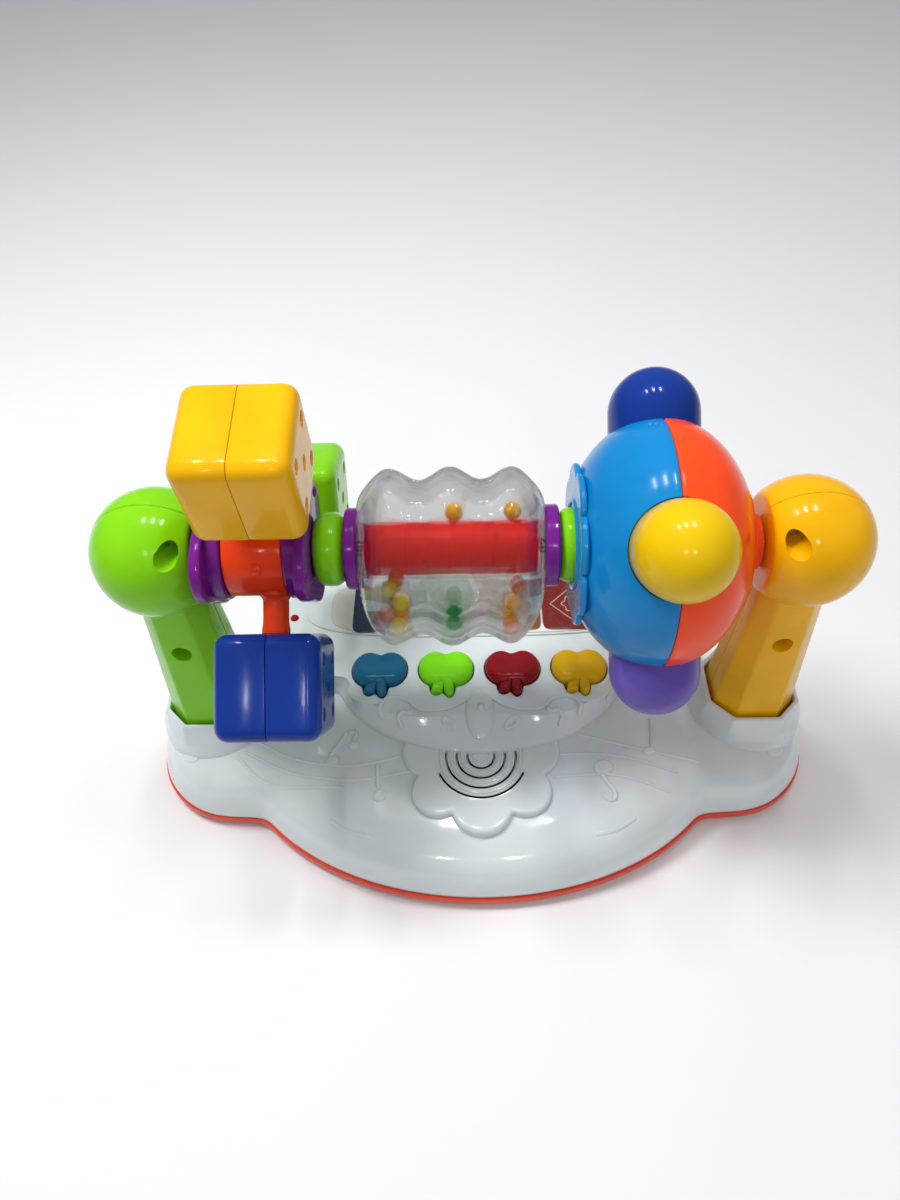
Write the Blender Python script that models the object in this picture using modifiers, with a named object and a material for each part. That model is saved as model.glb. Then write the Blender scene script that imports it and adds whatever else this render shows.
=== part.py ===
"""Musical activity console for babies: a cloud-shaped sound base with two posts and a bar of spinning toys.

Metres, +Z up. The origin is on the plane that the feet stand on, below the middle of the axle. X runs along
the axle. The child sits on the +Y side, which the picture label and the buttons face, and the speaker is on
the -Y side.
"""

import math

import bmesh
import bpy
from mathutils import Matrix, Vector

GAP = 0.0003
WALL = 0.0024
TURN = 2 * math.pi
OUTLINE_POINTS = 60
PANEL_POINTS = 48

# Base: each lobe of an outline is (centre x, centre y, radius x, radius y).
BASE_LOBES = [
    (0, 0, 0.136, 0.097),
    (-0.131, -0.008, 0.044, 0.044),
    (0.131, -0.008, 0.044, 0.044),
    (-0.088, 0.042, 0.040, 0.040),
    (0.088, 0.042, 0.040, 0.040),
    (0, 0.053, 0.044, 0.044),
]
FOOT_HEIGHT = 0.0013
PLATE_BOTTOM = 0.0016
PLATE_TOP = 0.0080
PLATE_FLOOR = 0.0025
RIM_WALL = 0.0036
# The upper shell's side and top, as (height, inset from the outline).
SHELL_PROFILE = [
    (0.0083, 0.0012),
    (0.0160, 0.0020),
    (0.0240, 0.0045),
    (0.0300, 0.0105),
    (0.0335, 0.0200),
    (0.0355, 0.0360),
    (0.0365, 0.0550),
]

# Raised control panel on the shell.
PANEL_CENTRE = (0, 0.030)
PANEL_LOBES = [
    (0, 0.025, 0.080, 0.058),
    (0, 0.051, 0.113, 0.037),
    (-0.086, 0.043, 0.0345, 0.0345),
    (0.086, 0.043, 0.0345, 0.0345),
    (0, 0.050, 0.040, 0.040),
]
PANEL_BOTTOM = 0.020
PANEL_FOOT = 0.0405
PANEL_TOP = 0.050
PANEL_ROUND = 0.003
PANEL_SLOPE = 0.005
PANEL_SPEAKER_SLOPE = 0.015

# Picture label on its low platform.
LABEL_CENTRE = (0, 0.056)
PLATFORM_SIZE = (0.097, 0.0215)
PLATFORM_TOP = 0.0512
LABEL_SIZE = (0.083, 0.0200)
LABEL_THICKNESS = 0.0005

# Apple-shaped buttons: the body, the leaf and the stem of one outline.
BUTTON_PITCH = 0.0355
BUTTON_Y = 0.0115
APPLE_LOBES = [
    (0, 0, 0.0146, 0.0123),
    (-0.0040, -0.0135, 0.0038, 0.0036),
    (0.0026, -0.0140, 0.0022, 0.0044),
]
BUTTON_BOTTOM = 0.0452
BUTTON_FLANGE_TOP = 0.0472
BUTTON_TOP = 0.0556
BUTTON_FLANGE = 0.0012
BUTTON_CLEARANCE = 0.0005
BUTTON_COLOURS = {
    "teal": (0.01, 0.13, 0.22),
    "lime": (0.20, 0.72, 0.01),
    "red": (0.27, 0.005, 0.008),
    "yellow": (0.68, 0.38, 0.0),
}

# Circuit board under the buttons, and the light at the panel's left corner.
BOARD_TOP = 0.0373
BOARD_THICKNESS = 0.0016
BOARD_LOW = (-0.0625, -0.002)
BOARD_HIGH = (0.0625, 0.027)
BOARD_BOSS_X = (-0.0355, 0.0355)
BOARD_BOSS_Y = 0.0225
DOME_RADII = (0.0070, 0.0048)
LED_PLACE = (-0.1035, 0.0500)
LED_RADIUS = 0.0024
LED_Z = (0.0445, 0.0506)

# Speaker bezel and grille.
BEZEL_CENTRE = (0, -0.040)
BEZEL_LOBES = [
    (0, -0.038, 0.030, 0.030),
    (-0.024, -0.030, 0.0165, 0.0165),
    (0.024, -0.030, 0.0165, 0.0165),
    (-0.0215, -0.053, 0.0135, 0.0135),
    (0.0215, -0.053, 0.0135, 0.0135),
    (0, -0.0605, 0.0155, 0.0155),
]
BEZEL_TOP = 0.0392
GRILLE_Y = -0.0355
GRILLE_RADII = [0.0080, 0.0135, 0.0190, 0.0245]
GRILLE_SLOT = 0.0012
SPEAKER_Y = -0.038

# Posts and their sockets.
AXLE_Z = 0.158
POST_X = 0.140
HEAD_RADIUS = 0.0285
POST_BOTTOM = 0.0385
POST_NECK = 0.138
POST_FLAT_BOTTOM = 0.0205
POST_FLAT_TOP = 0.0150
SOCKET_RIM = 0.0525
SOCKET_RIM_FLAT = 0.0232
SOCKET_FOOT = 0.0300
HEAD_FACE_X = 0.1205
POST_WALL = 0.0026
AXLE_RADIUS = 0.0030
AXLE_END = 0.1325
BOSS_RADIUS = 0.0080
BORE_RADIUS = 0.0036
# A post screw is (distance in x from the post's axis towards the middle, height).
POST_SCREWS = {"upper": (0.012, 0.1750), "lower": (0.0, 0.1060)}

# Spinner with three dice, at the left of the bar.
HUB_X = (-0.1076, -0.0822)
HUB_RADIUS = 0.0200
DIE_X = -0.0885
DIE_SIDE = 0.0450
DIE_ROUND = 0.0060
DIE_CENTRE = 0.0590
ARM_RADIUS = 0.0056
FLANGE_LENGTH = 0.0107
TREFOIL_RADIUS = 0.0263
TREFOIL_LOBE = 0.0040
TREFOIL_TURN = 49.6
DICE = {"yellow": -10, "green": 111, "blue": 232}

# Loose rings on the axle, and the tumbler with its end caps.
RING_RADIUS = 0.0162
LEFT_RING_X = (-0.0709, -0.0575)
RIGHT_RING_X = (0.0343, 0.0440)
CAP_RADIUS = 0.0178
LEFT_CAP_X = (-0.0572, -0.0518)
RIGHT_CAP_X = (0.0278, 0.0340)
TUMBLER_X = (-0.0515, 0.0275)
TUMBLER_TILT = math.radians(-29)
TUMBLER_UP = 0.0312
TUMBLER_DOWN = 0.0403
TUMBLER_HUMP = 0.0028
TUMBLER_PITCH = 0.0265
TUMBLER_HALF_DEPTH = 0.0195
TUMBLER_WALL = 0.0020
TUBE_RADIUS = 0.0118
BEAD_RADIUS = 0.0040
BEADS = {
    "left": [(-0.0410, -0.0205), (-0.0365, -0.0258), (-0.0395, -0.0321)],
    "middle": [(-0.0120, -0.0270), (-0.0120, -0.0338)],
    "right": [(0.0175, -0.0195), (0.0158, -0.0262), (0.0145, -0.0329)],
}

# Big ball with four knobs, at the right of the bar.
BALL_X = 0.0760
BALL_RADIUS = 0.0540
BALL_HALF_LENGTH = 0.0404
BALL_CUT = 0.0350
BALL_CUT_RADIUS = 0.0250
BALL_FLANGE = 0.0050
BLUE_PETALS = (0.0350, 0.0040)
ORANGE_PETALS = (0.0262, 0.0030)
PETAL_COUNT = 8
COLLAR_RADIUS = 0.0120
COLLAR_END = 0.1192
KNOB_RADIUS = 0.0197
KNOB_CENTRE = 0.0556
KNOB_SEAT = 0.0500
KNOBS = {"navy": 48, "yellow": -47, "lavender": 223, "lime": 135}

# Batteries and their door in the lower plate.
BATTERY_RADIUS = 0.00725
BATTERY_LENGTH = 0.0505
BATTERY_Z = 0.0128
BATTERY_ROWS = [0.0220, 0.0375, 0.0530]
TRAY_X = 0.0278
TRAY_Y = (0.0142, 0.0608)
TRAY_TOP = 0.0220
DOOR_Y = (0.0060, 0.0608)
DOOR_TOP = 0.0046
DOOR_SCREW_Y = 0.0102

# Power switch, in a slot of the lower plate. It slides towards +X.
SWITCH_PLACE = (-0.062, 0.030)
SWITCH_TRAVEL = 0.006
SWITCH_HALF = (0.0028, 0.0021)
SWITCH_FLANGE = (0.0125, 0.0045)

PARTS = bpy.data.collections.new("musical_activity_console")
CUTTERS = bpy.data.collections.new("cutters")


def clear_scene():
    for obj in list(bpy.data.objects):
        bpy.data.objects.remove(obj, do_unlink=True)
    bpy.context.scene.collection.children.link(PARTS)
    bpy.context.scene.collection.children.link(CUTTERS)


def material(name, colour, roughness=0.18, metallic=0.0, transmission=0.0):
    made = bpy.data.materials.get(name)
    if made:
        return made
    made = bpy.data.materials.new(name)
    made.use_nodes = True
    made.diffuse_color = (*colour, 1)
    shader = made.node_tree.nodes["Principled BSDF"]
    shader.inputs["Base Color"].default_value = (*colour, 1)
    shader.inputs["Roughness"].default_value = roughness
    shader.inputs["Metallic"].default_value = metallic
    shader.inputs["Transmission Weight"].default_value = transmission
    return made


def lime():
    return material("lime_plastic", (0.20, 0.60, 0.01))


def purple():
    return material("purple_plastic", (0.15, 0.01, 0.22))


def orange():
    return material("orange_plastic", (0.88, 0.055, 0.005))


def yellow():
    return material("yellow_plastic", (0.80, 0.38, 0.0))


def navy():
    return material("navy_plastic", (0.0, 0.02, 0.24))


def white():
    return material("white_plastic", (0.78, 0.78, 0.76))


def orange_red():
    return material("orange_red_plastic", (0.72, 0.06, 0.025))


def clear_plastic():
    return material("clear_plastic", (0.95, 0.95, 0.95), 0.05, 0.0, 1.0)


def steel():
    return material("steel", (0.60, 0.60, 0.62), 0.25, 1.0)


def place(name, mesh, finish):
    """A part when finish is a material, or a cutter when it is None."""
    obj = bpy.data.objects.new(name, mesh)
    if finish:
        mesh.materials.append(finish)
        PARTS.objects.link(obj)
    else:
        CUTTERS.objects.link(obj)
        obj.hide_render = True
        obj.display_type = "WIRE"
    return obj


def place_bmesh(name, bm, finish):
    bmesh.ops.recalc_face_normals(bm, faces=bm.faces)
    mesh = bpy.data.meshes.new(name)
    bm.to_mesh(mesh)
    bm.free()
    obj = place(name, mesh, finish)
    mesh.shade_smooth()
    mesh.set_sharp_from_angle(angle=math.radians(35))
    return obj


def boolean(obj, other, operation):
    modifier = obj.modifiers.new(f"{operation.lower()}_{other.name}", "BOOLEAN")
    modifier.operation = operation
    modifier.object = other
    modifier.solver = "EXACT"


def cut(obj, *cutters):
    for cutter in cutters:
        boolean(obj, cutter, "DIFFERENCE")


def join(obj, *others):
    for other in others:
        boolean(obj, other, "UNION")


def box(name, low, high, finish=None):
    bm = bmesh.new()
    bmesh.ops.create_cube(bm, size=1)
    size = Vector(high) - Vector(low)
    middle = (Vector(high) + Vector(low)) / 2
    bmesh.ops.scale(bm, vec=size, verts=bm.verts)
    bmesh.ops.translate(bm, vec=middle, verts=bm.verts)
    return place_bmesh(name, bm, finish)


def cylinder(name, centre, axis, span, radius, finish=None, segments=24, end_radius=None):
    """A cylinder or cone through centre, from span[0] to span[1] along X, Y or Z."""
    bm = bmesh.new()
    bmesh.ops.create_cone(
        bm,
        cap_ends=True,
        segments=segments,
        radius1=radius,
        radius2=radius if end_radius is None else end_radius,
        depth=span[1] - span[0],
    )
    bmesh.ops.translate(bm, vec=(0, 0, (span[0] + span[1]) / 2), verts=bm.verts)
    turns = {"X": Matrix.Rotation(TURN / 4, 4, "Y"), "Y": Matrix.Rotation(-TURN / 4, 4, "X"), "Z": Matrix()}
    bmesh.ops.transform(bm, matrix=turns[axis], verts=bm.verts)
    obj = place_bmesh(name, bm, finish)
    obj.location = centre
    return obj


def ball(name, centre, radius, finish=None, segments=24):
    bm = bmesh.new()
    bmesh.ops.create_uvsphere(bm, u_segments=segments, v_segments=segments // 2, radius=radius)
    obj = place_bmesh(name, bm, finish)
    obj.location = centre
    return obj


def turned(name, profile, x, finish=None, steps=32, solid=False):
    """Turns a profile of (radius, distance along the axle) points about the axle.

    A solid profile starts and ends on the axis. Any other is a closed loop.
    """
    count = len(profile)
    area = sum(profile[i - 1][0] * profile[i][1] - profile[i][0] * profile[i - 1][1] for i in range(count))
    # The outer side runs down the screw's axis, so that the faces point out.
    points = list(profile) if area < 0 else list(reversed(profile))
    if solid and points[0][1] < points[-1][1]:
        points.reverse()
    mesh = bpy.data.meshes.new(name)
    last = count - 1 if solid else count
    edges = [(i, (i + 1) % count) for i in range(last)]
    mesh.from_pydata([(radius, 0, along) for radius, along in points], edges, [])
    obj = place(name, mesh, finish)
    obj.location = (x, 0, AXLE_Z)
    obj.rotation_euler = (0, TURN / 4, 0)
    screw = obj.modifiers.new("turn", "SCREW")
    screw.steps = steps
    screw.render_steps = steps
    screw.use_merge_vertices = True
    screw.merge_threshold = 0.00001
    screw.use_smooth_shade = True
    return obj


def loft(name, rings, finish=None):
    """Joins rings of equal counts of points, from low to high, and closes both ends."""
    bm = bmesh.new()
    rows = [[bm.verts.new(point) for point in ring] for ring in rings]
    count = len(rows[0])
    for low, high in zip(rows, rows[1:]):
        for i in range(count):
            j = (i + 1) % count
            bm.faces.new((low[i], low[j], high[j], high[i]))
    bm.faces.new(list(reversed(rows[0])))
    bm.faces.new(rows[-1])
    return place_bmesh(name, bm, finish)


def reach(origin, angle, lobes):
    """How far a ray from origin runs before it leaves the last of these ellipses."""
    furthest = 0.0
    for centre_x, centre_y, radius_x, radius_y in lobes:
        # In units of the ellipse's radii it is a unit circle, and the ray leaves it at a quadratic's root.
        start = Vector(((origin[0] - centre_x) / radius_x, (origin[1] - centre_y) / radius_y))
        step = Vector((math.cos(angle) / radius_x, math.sin(angle) / radius_y))
        middle = start.dot(step)
        inside = middle**2 - step.length_squared * (start.length_squared - 1)
        if inside >= 0:
            furthest = max(furthest, (math.sqrt(inside) - middle) / step.length_squared)
    return furthest


def lobed_ring(origin, lobes, height, inset, count):
    """A ring of points round the lobes. inset is a distance, or a function of the angle."""
    ring = []
    for i in range(count):
        angle = TURN * i / count
        step = inset(angle) if callable(inset) else inset
        distance = reach(origin, angle, lobes) - step
        place_x = origin[0] + distance * math.cos(angle)
        place_y = origin[1] + distance * math.sin(angle)
        ring.append((place_x, place_y, height))
    return ring


def base_ring(height, inset):
    return lobed_ring((0, 0), BASE_LOBES, height, inset, OUTLINE_POINTS)


def octagon_ring(x, flat, height, roundness=0.0, count=16):
    """A regular octagon with flats towards X and Y, blended towards a circle by roundness."""
    ring = []
    for i in range(count):
        angle = TURN * i / count
        from_flat = (angle + TURN / 16) % (TURN / 8) - TURN / 16
        distance = flat * ((1 - roundness) / math.cos(from_flat) + roundness)
        ring.append((x + distance * math.cos(angle), distance * math.sin(angle), height))
    return ring


def superellipse_ring(centre, size, height, power, count):
    ring = []
    for i in range(count):
        angle = TURN * i / count
        across = math.copysign(abs(math.cos(angle)) ** (2 / power), math.cos(angle))
        along = math.copysign(abs(math.sin(angle)) ** (2 / power), math.sin(angle))
        ring.append((centre[0] + size[0] * across, centre[1] + size[1] * along, height))
    return ring


def panel_inset(extra):
    def inset(angle):
        return PANEL_SLOPE + extra + PANEL_SPEAKER_SLOPE * max(0, -math.sin(angle)) ** 4

    return inset


def shell_body(name, finish, inward=0.0):
    """The cloud's outer form, or its hollow when inward is the wall's thickness."""
    profile = SHELL_PROFILE[::2] if inward else SHELL_PROFILE
    rings = [base_ring(z - inward, inset + inward) for z, inset in profile]
    return loft(name, rings, finish)


def panel_body(name, inward=0.0):
    levels = [
        (PANEL_BOTTOM - 3 * inward, inward),
        (PANEL_FOOT - inward, 0.001 + inward),
        (PANEL_TOP - PANEL_ROUND / 2 - inward, panel_inset(inward)),
        (PANEL_TOP - inward, panel_inset(PANEL_ROUND + inward)),
    ]
    return loft(name, [lobed_ring(PANEL_CENTRE, PANEL_LOBES, z, inset, PANEL_POINTS) for z, inset in levels])


def button_x():
    return {name: (i - 1.5) * BUTTON_PITCH for i, name in enumerate(BUTTON_COLOURS)}


def apple_ring(x, height, inset, count=24):
    ring = lobed_ring((0, 0), APPLE_LOBES, height, inset, count)
    return [(x + place_x, BUTTON_Y + place_y, z) for place_x, place_y, z in ring]


def grille_slot(index, radius):
    """Half a ring-shaped slot, on the speaker side of the grille's centre."""
    count = 8
    half = GRILLE_SLOT / 2
    outer = [math.pi + math.pi * i / count for i in range(count + 1)]
    outline = [((radius + half) * math.cos(a), (radius + half) * math.sin(a)) for a in outer]
    outline += [((radius - half) * math.cos(a), (radius - half) * math.sin(a)) for a in reversed(outer)]
    rings = [[(x, GRILLE_Y + y, z) for x, y in outline] for z in (0.025, 0.045)]
    return loft(f"grille_slot_{index}", rings)


def make_upper_shell():
    shell = shell_body("base_upper_shell", white())
    join(shell, panel_body("panel_form"))
    levels = (PANEL_TOP - WALL / 2, PLATFORM_TOP)
    platform = [superellipse_ring(LABEL_CENTRE, PLATFORM_SIZE, z, 3, 32) for z in levels]
    join(shell, loft("platform_form", platform))
    bezel = [
        lobed_ring(BEZEL_CENTRE, BEZEL_LOBES, z, inset, 50)
        for z, inset in ((0.0300, 0.0), (BEZEL_TOP - 0.0017, 0.0004), (BEZEL_TOP, 0.0024))
    ]
    join(shell, loft("bezel_form", bezel))
    for side in (-1, 1):
        foot = [
            octagon_ring(side * POST_X, SOCKET_FOOT, 0.0300, 1.0),
            octagon_ring(side * POST_X, SOCKET_FOOT - 0.0022, 0.0385, 0.8),
            octagon_ring(side * POST_X, SOCKET_RIM_FLAT, SOCKET_RIM),
        ]
        join(shell, loft(f"socket_form_{side}", foot))

    cut(shell, shell_body("shell_hollow", None, WALL), panel_body("panel_hollow", WALL))
    low, high = SHELL_PROFILE[:2]
    mouth = [base_ring(PLATE_TOP - 0.004, low[1] + WALL), base_ring(high[0] - WALL, high[1] + WALL)]
    cut(shell, loft("shell_mouth", mouth))
    for side in (-1, 1):
        levels = (POST_BOTTOM - GAP, SOCKET_RIM + 0.01)
        pocket = [octagon_ring(side * POST_X, POST_FLAT_BOTTOM + 0.0006, z) for z in levels]
        cut(shell, loft(f"socket_pocket_{side}", pocket))
    for name, x in button_x().items():
        hole = [apple_ring(x, z, -BUTTON_CLEARANCE) for z in (0.040, 0.060)]
        flange = BUTTON_FLANGE + BUTTON_CLEARANCE
        pocket = [apple_ring(x, z, -flange) for z in (0.040, BUTTON_FLANGE_TOP + GAP)]
        cut(shell, loft(f"button_hole_{name}", hole), loft(f"flange_pocket_{name}", pocket))
    for index, radius in enumerate(GRILLE_RADII):
        cut(shell, grille_slot(index, radius))
    cut(shell, cylinder("led_hole", (*LED_PLACE, 0), "Z", (0.040, 0.060), LED_RADIUS + GAP, segments=16))
    boss = (BOARD_TOP + GAP, 0.049)
    for x in BOARD_BOSS_X:
        join(shell, cylinder(f"board_boss_{x}", (x, BOARD_BOSS_Y, 0), "Z", boss, 0.0030, segments=12))


def make_lower_plate():
    rim = [base_ring(PLATE_BOTTOM, 0.0022), base_ring(PLATE_BOTTOM + 0.0018, 0.0), base_ring(PLATE_TOP, 0.0)]
    plate = loft("base_lower_plate", rim, orange_red())
    hollow = [base_ring(z, RIM_WALL) for z in (PLATE_BOTTOM + PLATE_FLOOR, 0.012)]
    cut(plate, loft("plate_hollow", hollow))
    tray_low = (-TRAY_X - 0.002, DOOR_Y[0] - 0.002, PLATE_BOTTOM + 0.001)
    join(plate, box("tray_form", tray_low, (TRAY_X + 0.002, TRAY_Y[1] + 0.002, TRAY_TOP + 0.0015)))
    cut(plate, box("tray_hollow", (-TRAY_X, TRAY_Y[0], -0.01), (TRAY_X, TRAY_Y[1], TRAY_TOP)))
    cut(plate, box("door_seat", (-TRAY_X, DOOR_Y[0], -0.01), (TRAY_X, DOOR_Y[1] - 0.0001, DOOR_TOP + GAP)))
    cut(plate, cylinder("door_screw_bore", (0, DOOR_SCREW_Y, 0), "Z", (0.002, 0.0130), 0.0015, segments=12))
    reach_x = SWITCH_HALF[0] + 0.0005
    reach_y = SWITCH_HALF[1] + 0.0004
    slot_low = (SWITCH_PLACE[0] - reach_x, SWITCH_PLACE[1] - reach_y, -0.01)
    slot_high = (SWITCH_PLACE[0] + SWITCH_TRAVEL + reach_x, SWITCH_PLACE[1] + reach_y, 0.01)
    cut(plate, box("switch_slot", slot_low, slot_high))


def make_door():
    low = (-TRAY_X + GAP, DOOR_Y[0] + GAP, PLATE_BOTTOM)
    door = box("battery_door", low, (TRAY_X - GAP, DOOR_Y[1] - 0.0001 - GAP, DOOR_TOP), orange_red())
    cut(door, cylinder("door_counterbore", (0, DOOR_SCREW_Y, 0), "Z", (0, 0.0032), 0.0031, segments=16))
    cut(door, cylinder("door_clearance", (0, DOOR_SCREW_Y, 0), "Z", (0, 0.01), 0.0016, segments=12))
    centre = (0, DOOR_SCREW_Y, 0)
    head = cylinder("battery_door_screw", centre, "Z", (0.0018, 0.0029), 0.0028, steel(), 16)
    join(head, cylinder("door_screw_shank", centre, "Z", (0.0024, 0.0115), 0.0012, segments=12))


def make_feet():
    rubber = material("foot_rubber", (0.03, 0.03, 0.03), 0.8)
    for name, x, y in (
        ("foot_child_left", -0.086, 0.052),
        ("foot_child_right", 0.086, 0.052),
        ("foot_speaker_left", -0.092, -0.046),
        ("foot_speaker_right", 0.092, -0.046),
    ):
        cylinder(name, (x, y, 0), "Z", (0, FOOT_HEIGHT), 0.0080, rubber, 24)


def make_batteries():
    jacket = material("battery_jacket", (0.05, 0.05, 0.06), 0.35, 0.4)
    for index, y in enumerate(BATTERY_ROWS):
        facing = 1 if index % 2 == 0 else -1
        half = BATTERY_LENGTH / 2
        body_end = half - 0.001
        spans = [(-half, body_end), (body_end - 0.0005, half)]
        if facing < 0:
            spans = [(-high, -low) for low, high in spans]
        centre = (0, y, BATTERY_Z)
        cell = cylinder(f"battery_{index + 1}", centre, "X", spans[0], BATTERY_RADIUS, jacket, 20)
        join(cell, cylinder(f"battery_tip_{index}", centre, "X", spans[1], 0.0027, segments=12))
    for side, name in ((-1, "battery_contact_left"), (1, "battery_contact_right")):
        outer = TRAY_X - GAP
        inner = outer - 0.0008
        span = sorted((side * inner, side * outer))
        low = (span[0], BATTERY_ROWS[0] - 0.006, BATTERY_Z - 0.004)
        strip = box(name, low, (span[1], BATTERY_ROWS[-1] + 0.006, BATTERY_Z + 0.004), steel())
        for index, y in enumerate(BATTERY_ROWS):
            bump = sorted((side * (inner + 0.0003), side * (BATTERY_LENGTH / 2 + GAP)))
            ends = (0.0030, 0.0015) if side < 0 else (0.0015, 0.0030)
            cone = cylinder(
                f"contact_bump_{name}_{index}", (0, y, BATTERY_Z), "X", bump, ends[0], None, 12, ends[1]
            )
            join(strip, cone)


def make_electronics():
    circuit = material("circuit_board", (0.01, 0.18, 0.06), 0.4)
    box("control_board", (*BOARD_LOW, BOARD_TOP - BOARD_THICKNESS), (*BOARD_HIGH, BOARD_TOP), circuit)
    rubber = material("switch_rubber", (0.35, 0.35, 0.35), 0.6)
    for name, x in button_x().items():
        span = (BOARD_TOP + GAP, BUTTON_BOTTOM - GAP)
        wide, narrow = DOME_RADII
        cylinder(f"switch_dome_{name}", (x, BUTTON_Y, 0), "Z", span, wide, rubber, 16, narrow)
    cone = material("speaker_black", (0.02, 0.02, 0.02), 0.5)
    centre = (0, SPEAKER_Y, 0)
    driver = cylinder("speaker_driver", centre, "Z", (0.0295, 0.0318), 0.0255, cone, 20)
    join(driver, cylinder("speaker_basket", centre, "Z", (0.0180, 0.0300), 0.0140, None, 20, 0.0235))
    join(driver, cylinder("speaker_magnet", centre, "Z", (0.0105, 0.0190), 0.0150, None, 20))
    cut(driver, cylinder("speaker_dish", centre, "Z", (0.0240, 0.0330), 0.0080, None, 20, 0.0230))
    lens = material("red_lens", (0.35, 0.0, 0.01), 0.1)
    cylinder("indicator_led", (*LED_PLACE, 0), "Z", LED_Z, LED_RADIUS, lens, 16)


def make_label():
    low = PLATFORM_TOP + GAP
    rings = [superellipse_ring(LABEL_CENTRE, LABEL_SIZE, z, 4, 40) for z in (low, low + LABEL_THICKNESS)]
    loft("picture_label", rings, material("printed_label", (0.02, 0.05, 0.16), 0.25))


def make_buttons():
    for name, x in button_x().items():
        finish = material(f"button_{name}", BUTTON_COLOURS[name], 0.15)
        levels = [
            (BUTTON_BOTTOM, -BUTTON_FLANGE),
            (BUTTON_FLANGE_TOP, -BUTTON_FLANGE),
            (BUTTON_FLANGE_TOP + 0.0001, 0.0),
            (BUTTON_TOP - 0.0016, 0.0),
            (BUTTON_TOP, 0.0026),
        ]
        button = loft(f"button_{name}", [apple_ring(0, z, inset) for z, inset in levels], finish)
        button.location = (x, 0, 0)


def make_power_switch():
    x, y = SWITCH_PLACE
    floor = PLATE_BOTTOM + PLATE_FLOOR + GAP
    dark = material("switch_plastic", (0.03, 0.03, 0.03), 0.4)
    half_x, half_y = SWITCH_HALF
    knob = box("power_switch_slider", (-half_x, -half_y, 0.0019), (half_x, half_y, floor + 0.0010), dark)
    knob.location = (x, y, 0)
    wide_x, wide_y = SWITCH_FLANGE
    flange_high = (x + wide_x, y + wide_y, floor + 0.0014)
    join(knob, box("switch_flange", (x - wide_x, y - wide_y, floor), flange_high))


def octagon_cone(name, x, spans, flats):
    rings = [octagon_ring(x, flat, z, roundness) for z, flat, roundness in zip(spans, flats, (0.0, 0.35))]
    return loft(name, rings)


def make_post(name, side, finish):
    """One post: a front and a rear half, which clamp the end of the axle, and their two screws."""
    x = side * POST_X
    neck = POST_NECK
    middle = (x, 0, AXLE_Z)
    stem = octagon_cone(f"{name}_stem", x, (POST_BOTTOM, neck), (POST_FLAT_BOTTOM, POST_FLAT_TOP))
    inner_side = sorted((side * (HEAD_FACE_X - 0.05), side * HEAD_FACE_X))
    face = box(f"{name}_face", (inner_side[0], -0.05, AXLE_Z - 0.0285), (inner_side[1], 0.05, AXLE_Z + 0.05))

    hollow = ball(f"{name}_hollow", middle, HEAD_RADIUS - POST_WALL, segments=12)
    flats = (POST_FLAT_BOTTOM - POST_WALL, POST_FLAT_TOP - POST_WALL)
    join(hollow, octagon_cone(f"{name}_stem_hollow", x, (POST_BOTTOM - 0.005, neck), flats))
    inner_wall = sorted((side * (HEAD_FACE_X - 0.05), side * (HEAD_FACE_X + POST_WALL)))
    wall_low = (inner_wall[0], -0.05, AXLE_Z - 0.022)
    cut(hollow, box(f"{name}_face_wall", wall_low, (inner_wall[1], 0.05, AXLE_Z + 0.05)))
    boss = sorted((side * (HEAD_FACE_X - 0.001), side * (AXLE_END + 0.0040)))
    cut(hollow, cylinder(f"{name}_axle_boss", (0, 0, AXLE_Z), "X", boss, BOSS_RADIUS, segments=12))
    bore_span = sorted((side * (HEAD_FACE_X - 0.01), side * (AXLE_END + GAP)))
    bore = cylinder(f"{name}_bore", (0, 0, AXLE_Z), "X", bore_span, AXLE_RADIUS + GAP, segments=12)

    recesses = []
    for level, (towards_middle, z) in POST_SCREWS.items():
        place_x = x - side * towards_middle
        centre = (place_x, 0, z)
        cut(hollow, cylinder(f"{name}_{level}_boss", centre, "Y", (-0.030, 0.030), 0.0064, segments=8))
        recess = cylinder(f"{name}_{level}_recess", centre, "Y", (-0.040, -0.0067), 0.0044, segments=12)
        join(recess, cylinder(f"{name}_{level}_pilot", centre, "Y", (-0.010, 0.0100), 0.0017, segments=6))
        recesses.append(recess)
        screw_name = f"{name}_screw_{level}"
        screw = cylinder(screw_name, centre, "Y", (-0.0092, -0.0070), 0.0037, steel(), 16)
        join(screw, cylinder(f"{screw_name}_shank", centre, "Y", (-0.0080, 0.0090), 0.0014, segments=8))
        slot_low = (place_x - 0.003, -0.0110, z - 0.0005)
        cut(screw, box(f"{screw_name}_slot", slot_low, (place_x + 0.003, -0.0086, z + 0.0005)))

    for half, low, high in (("front", GAP / 2, 0.1), ("rear", -0.1, -GAP / 2)):
        piece = ball(f"{name}_{half}", middle, HEAD_RADIUS, finish, 18)
        join(piece, stem)
        cut(piece, face, hollow, bore, *recesses)
        keep = box(f"{name}_{half}_side", (x - 0.1, low, -0.1), (x + 0.1, high, 0.3))
        boolean(piece, keep, "INTERSECT")


def make_axle():
    cylinder("axle_rod", (0, 0, AXLE_Z), "X", (-AXLE_END, AXLE_END), AXLE_RADIUS, steel(), 20)


def empty(name, x, turn):
    holder = bpy.data.objects.new(name, None)
    holder.location = (x, 0, AXLE_Z)
    holder.rotation_euler = (turn, 0, 0)
    PARTS.objects.link(holder)
    return holder


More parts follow.
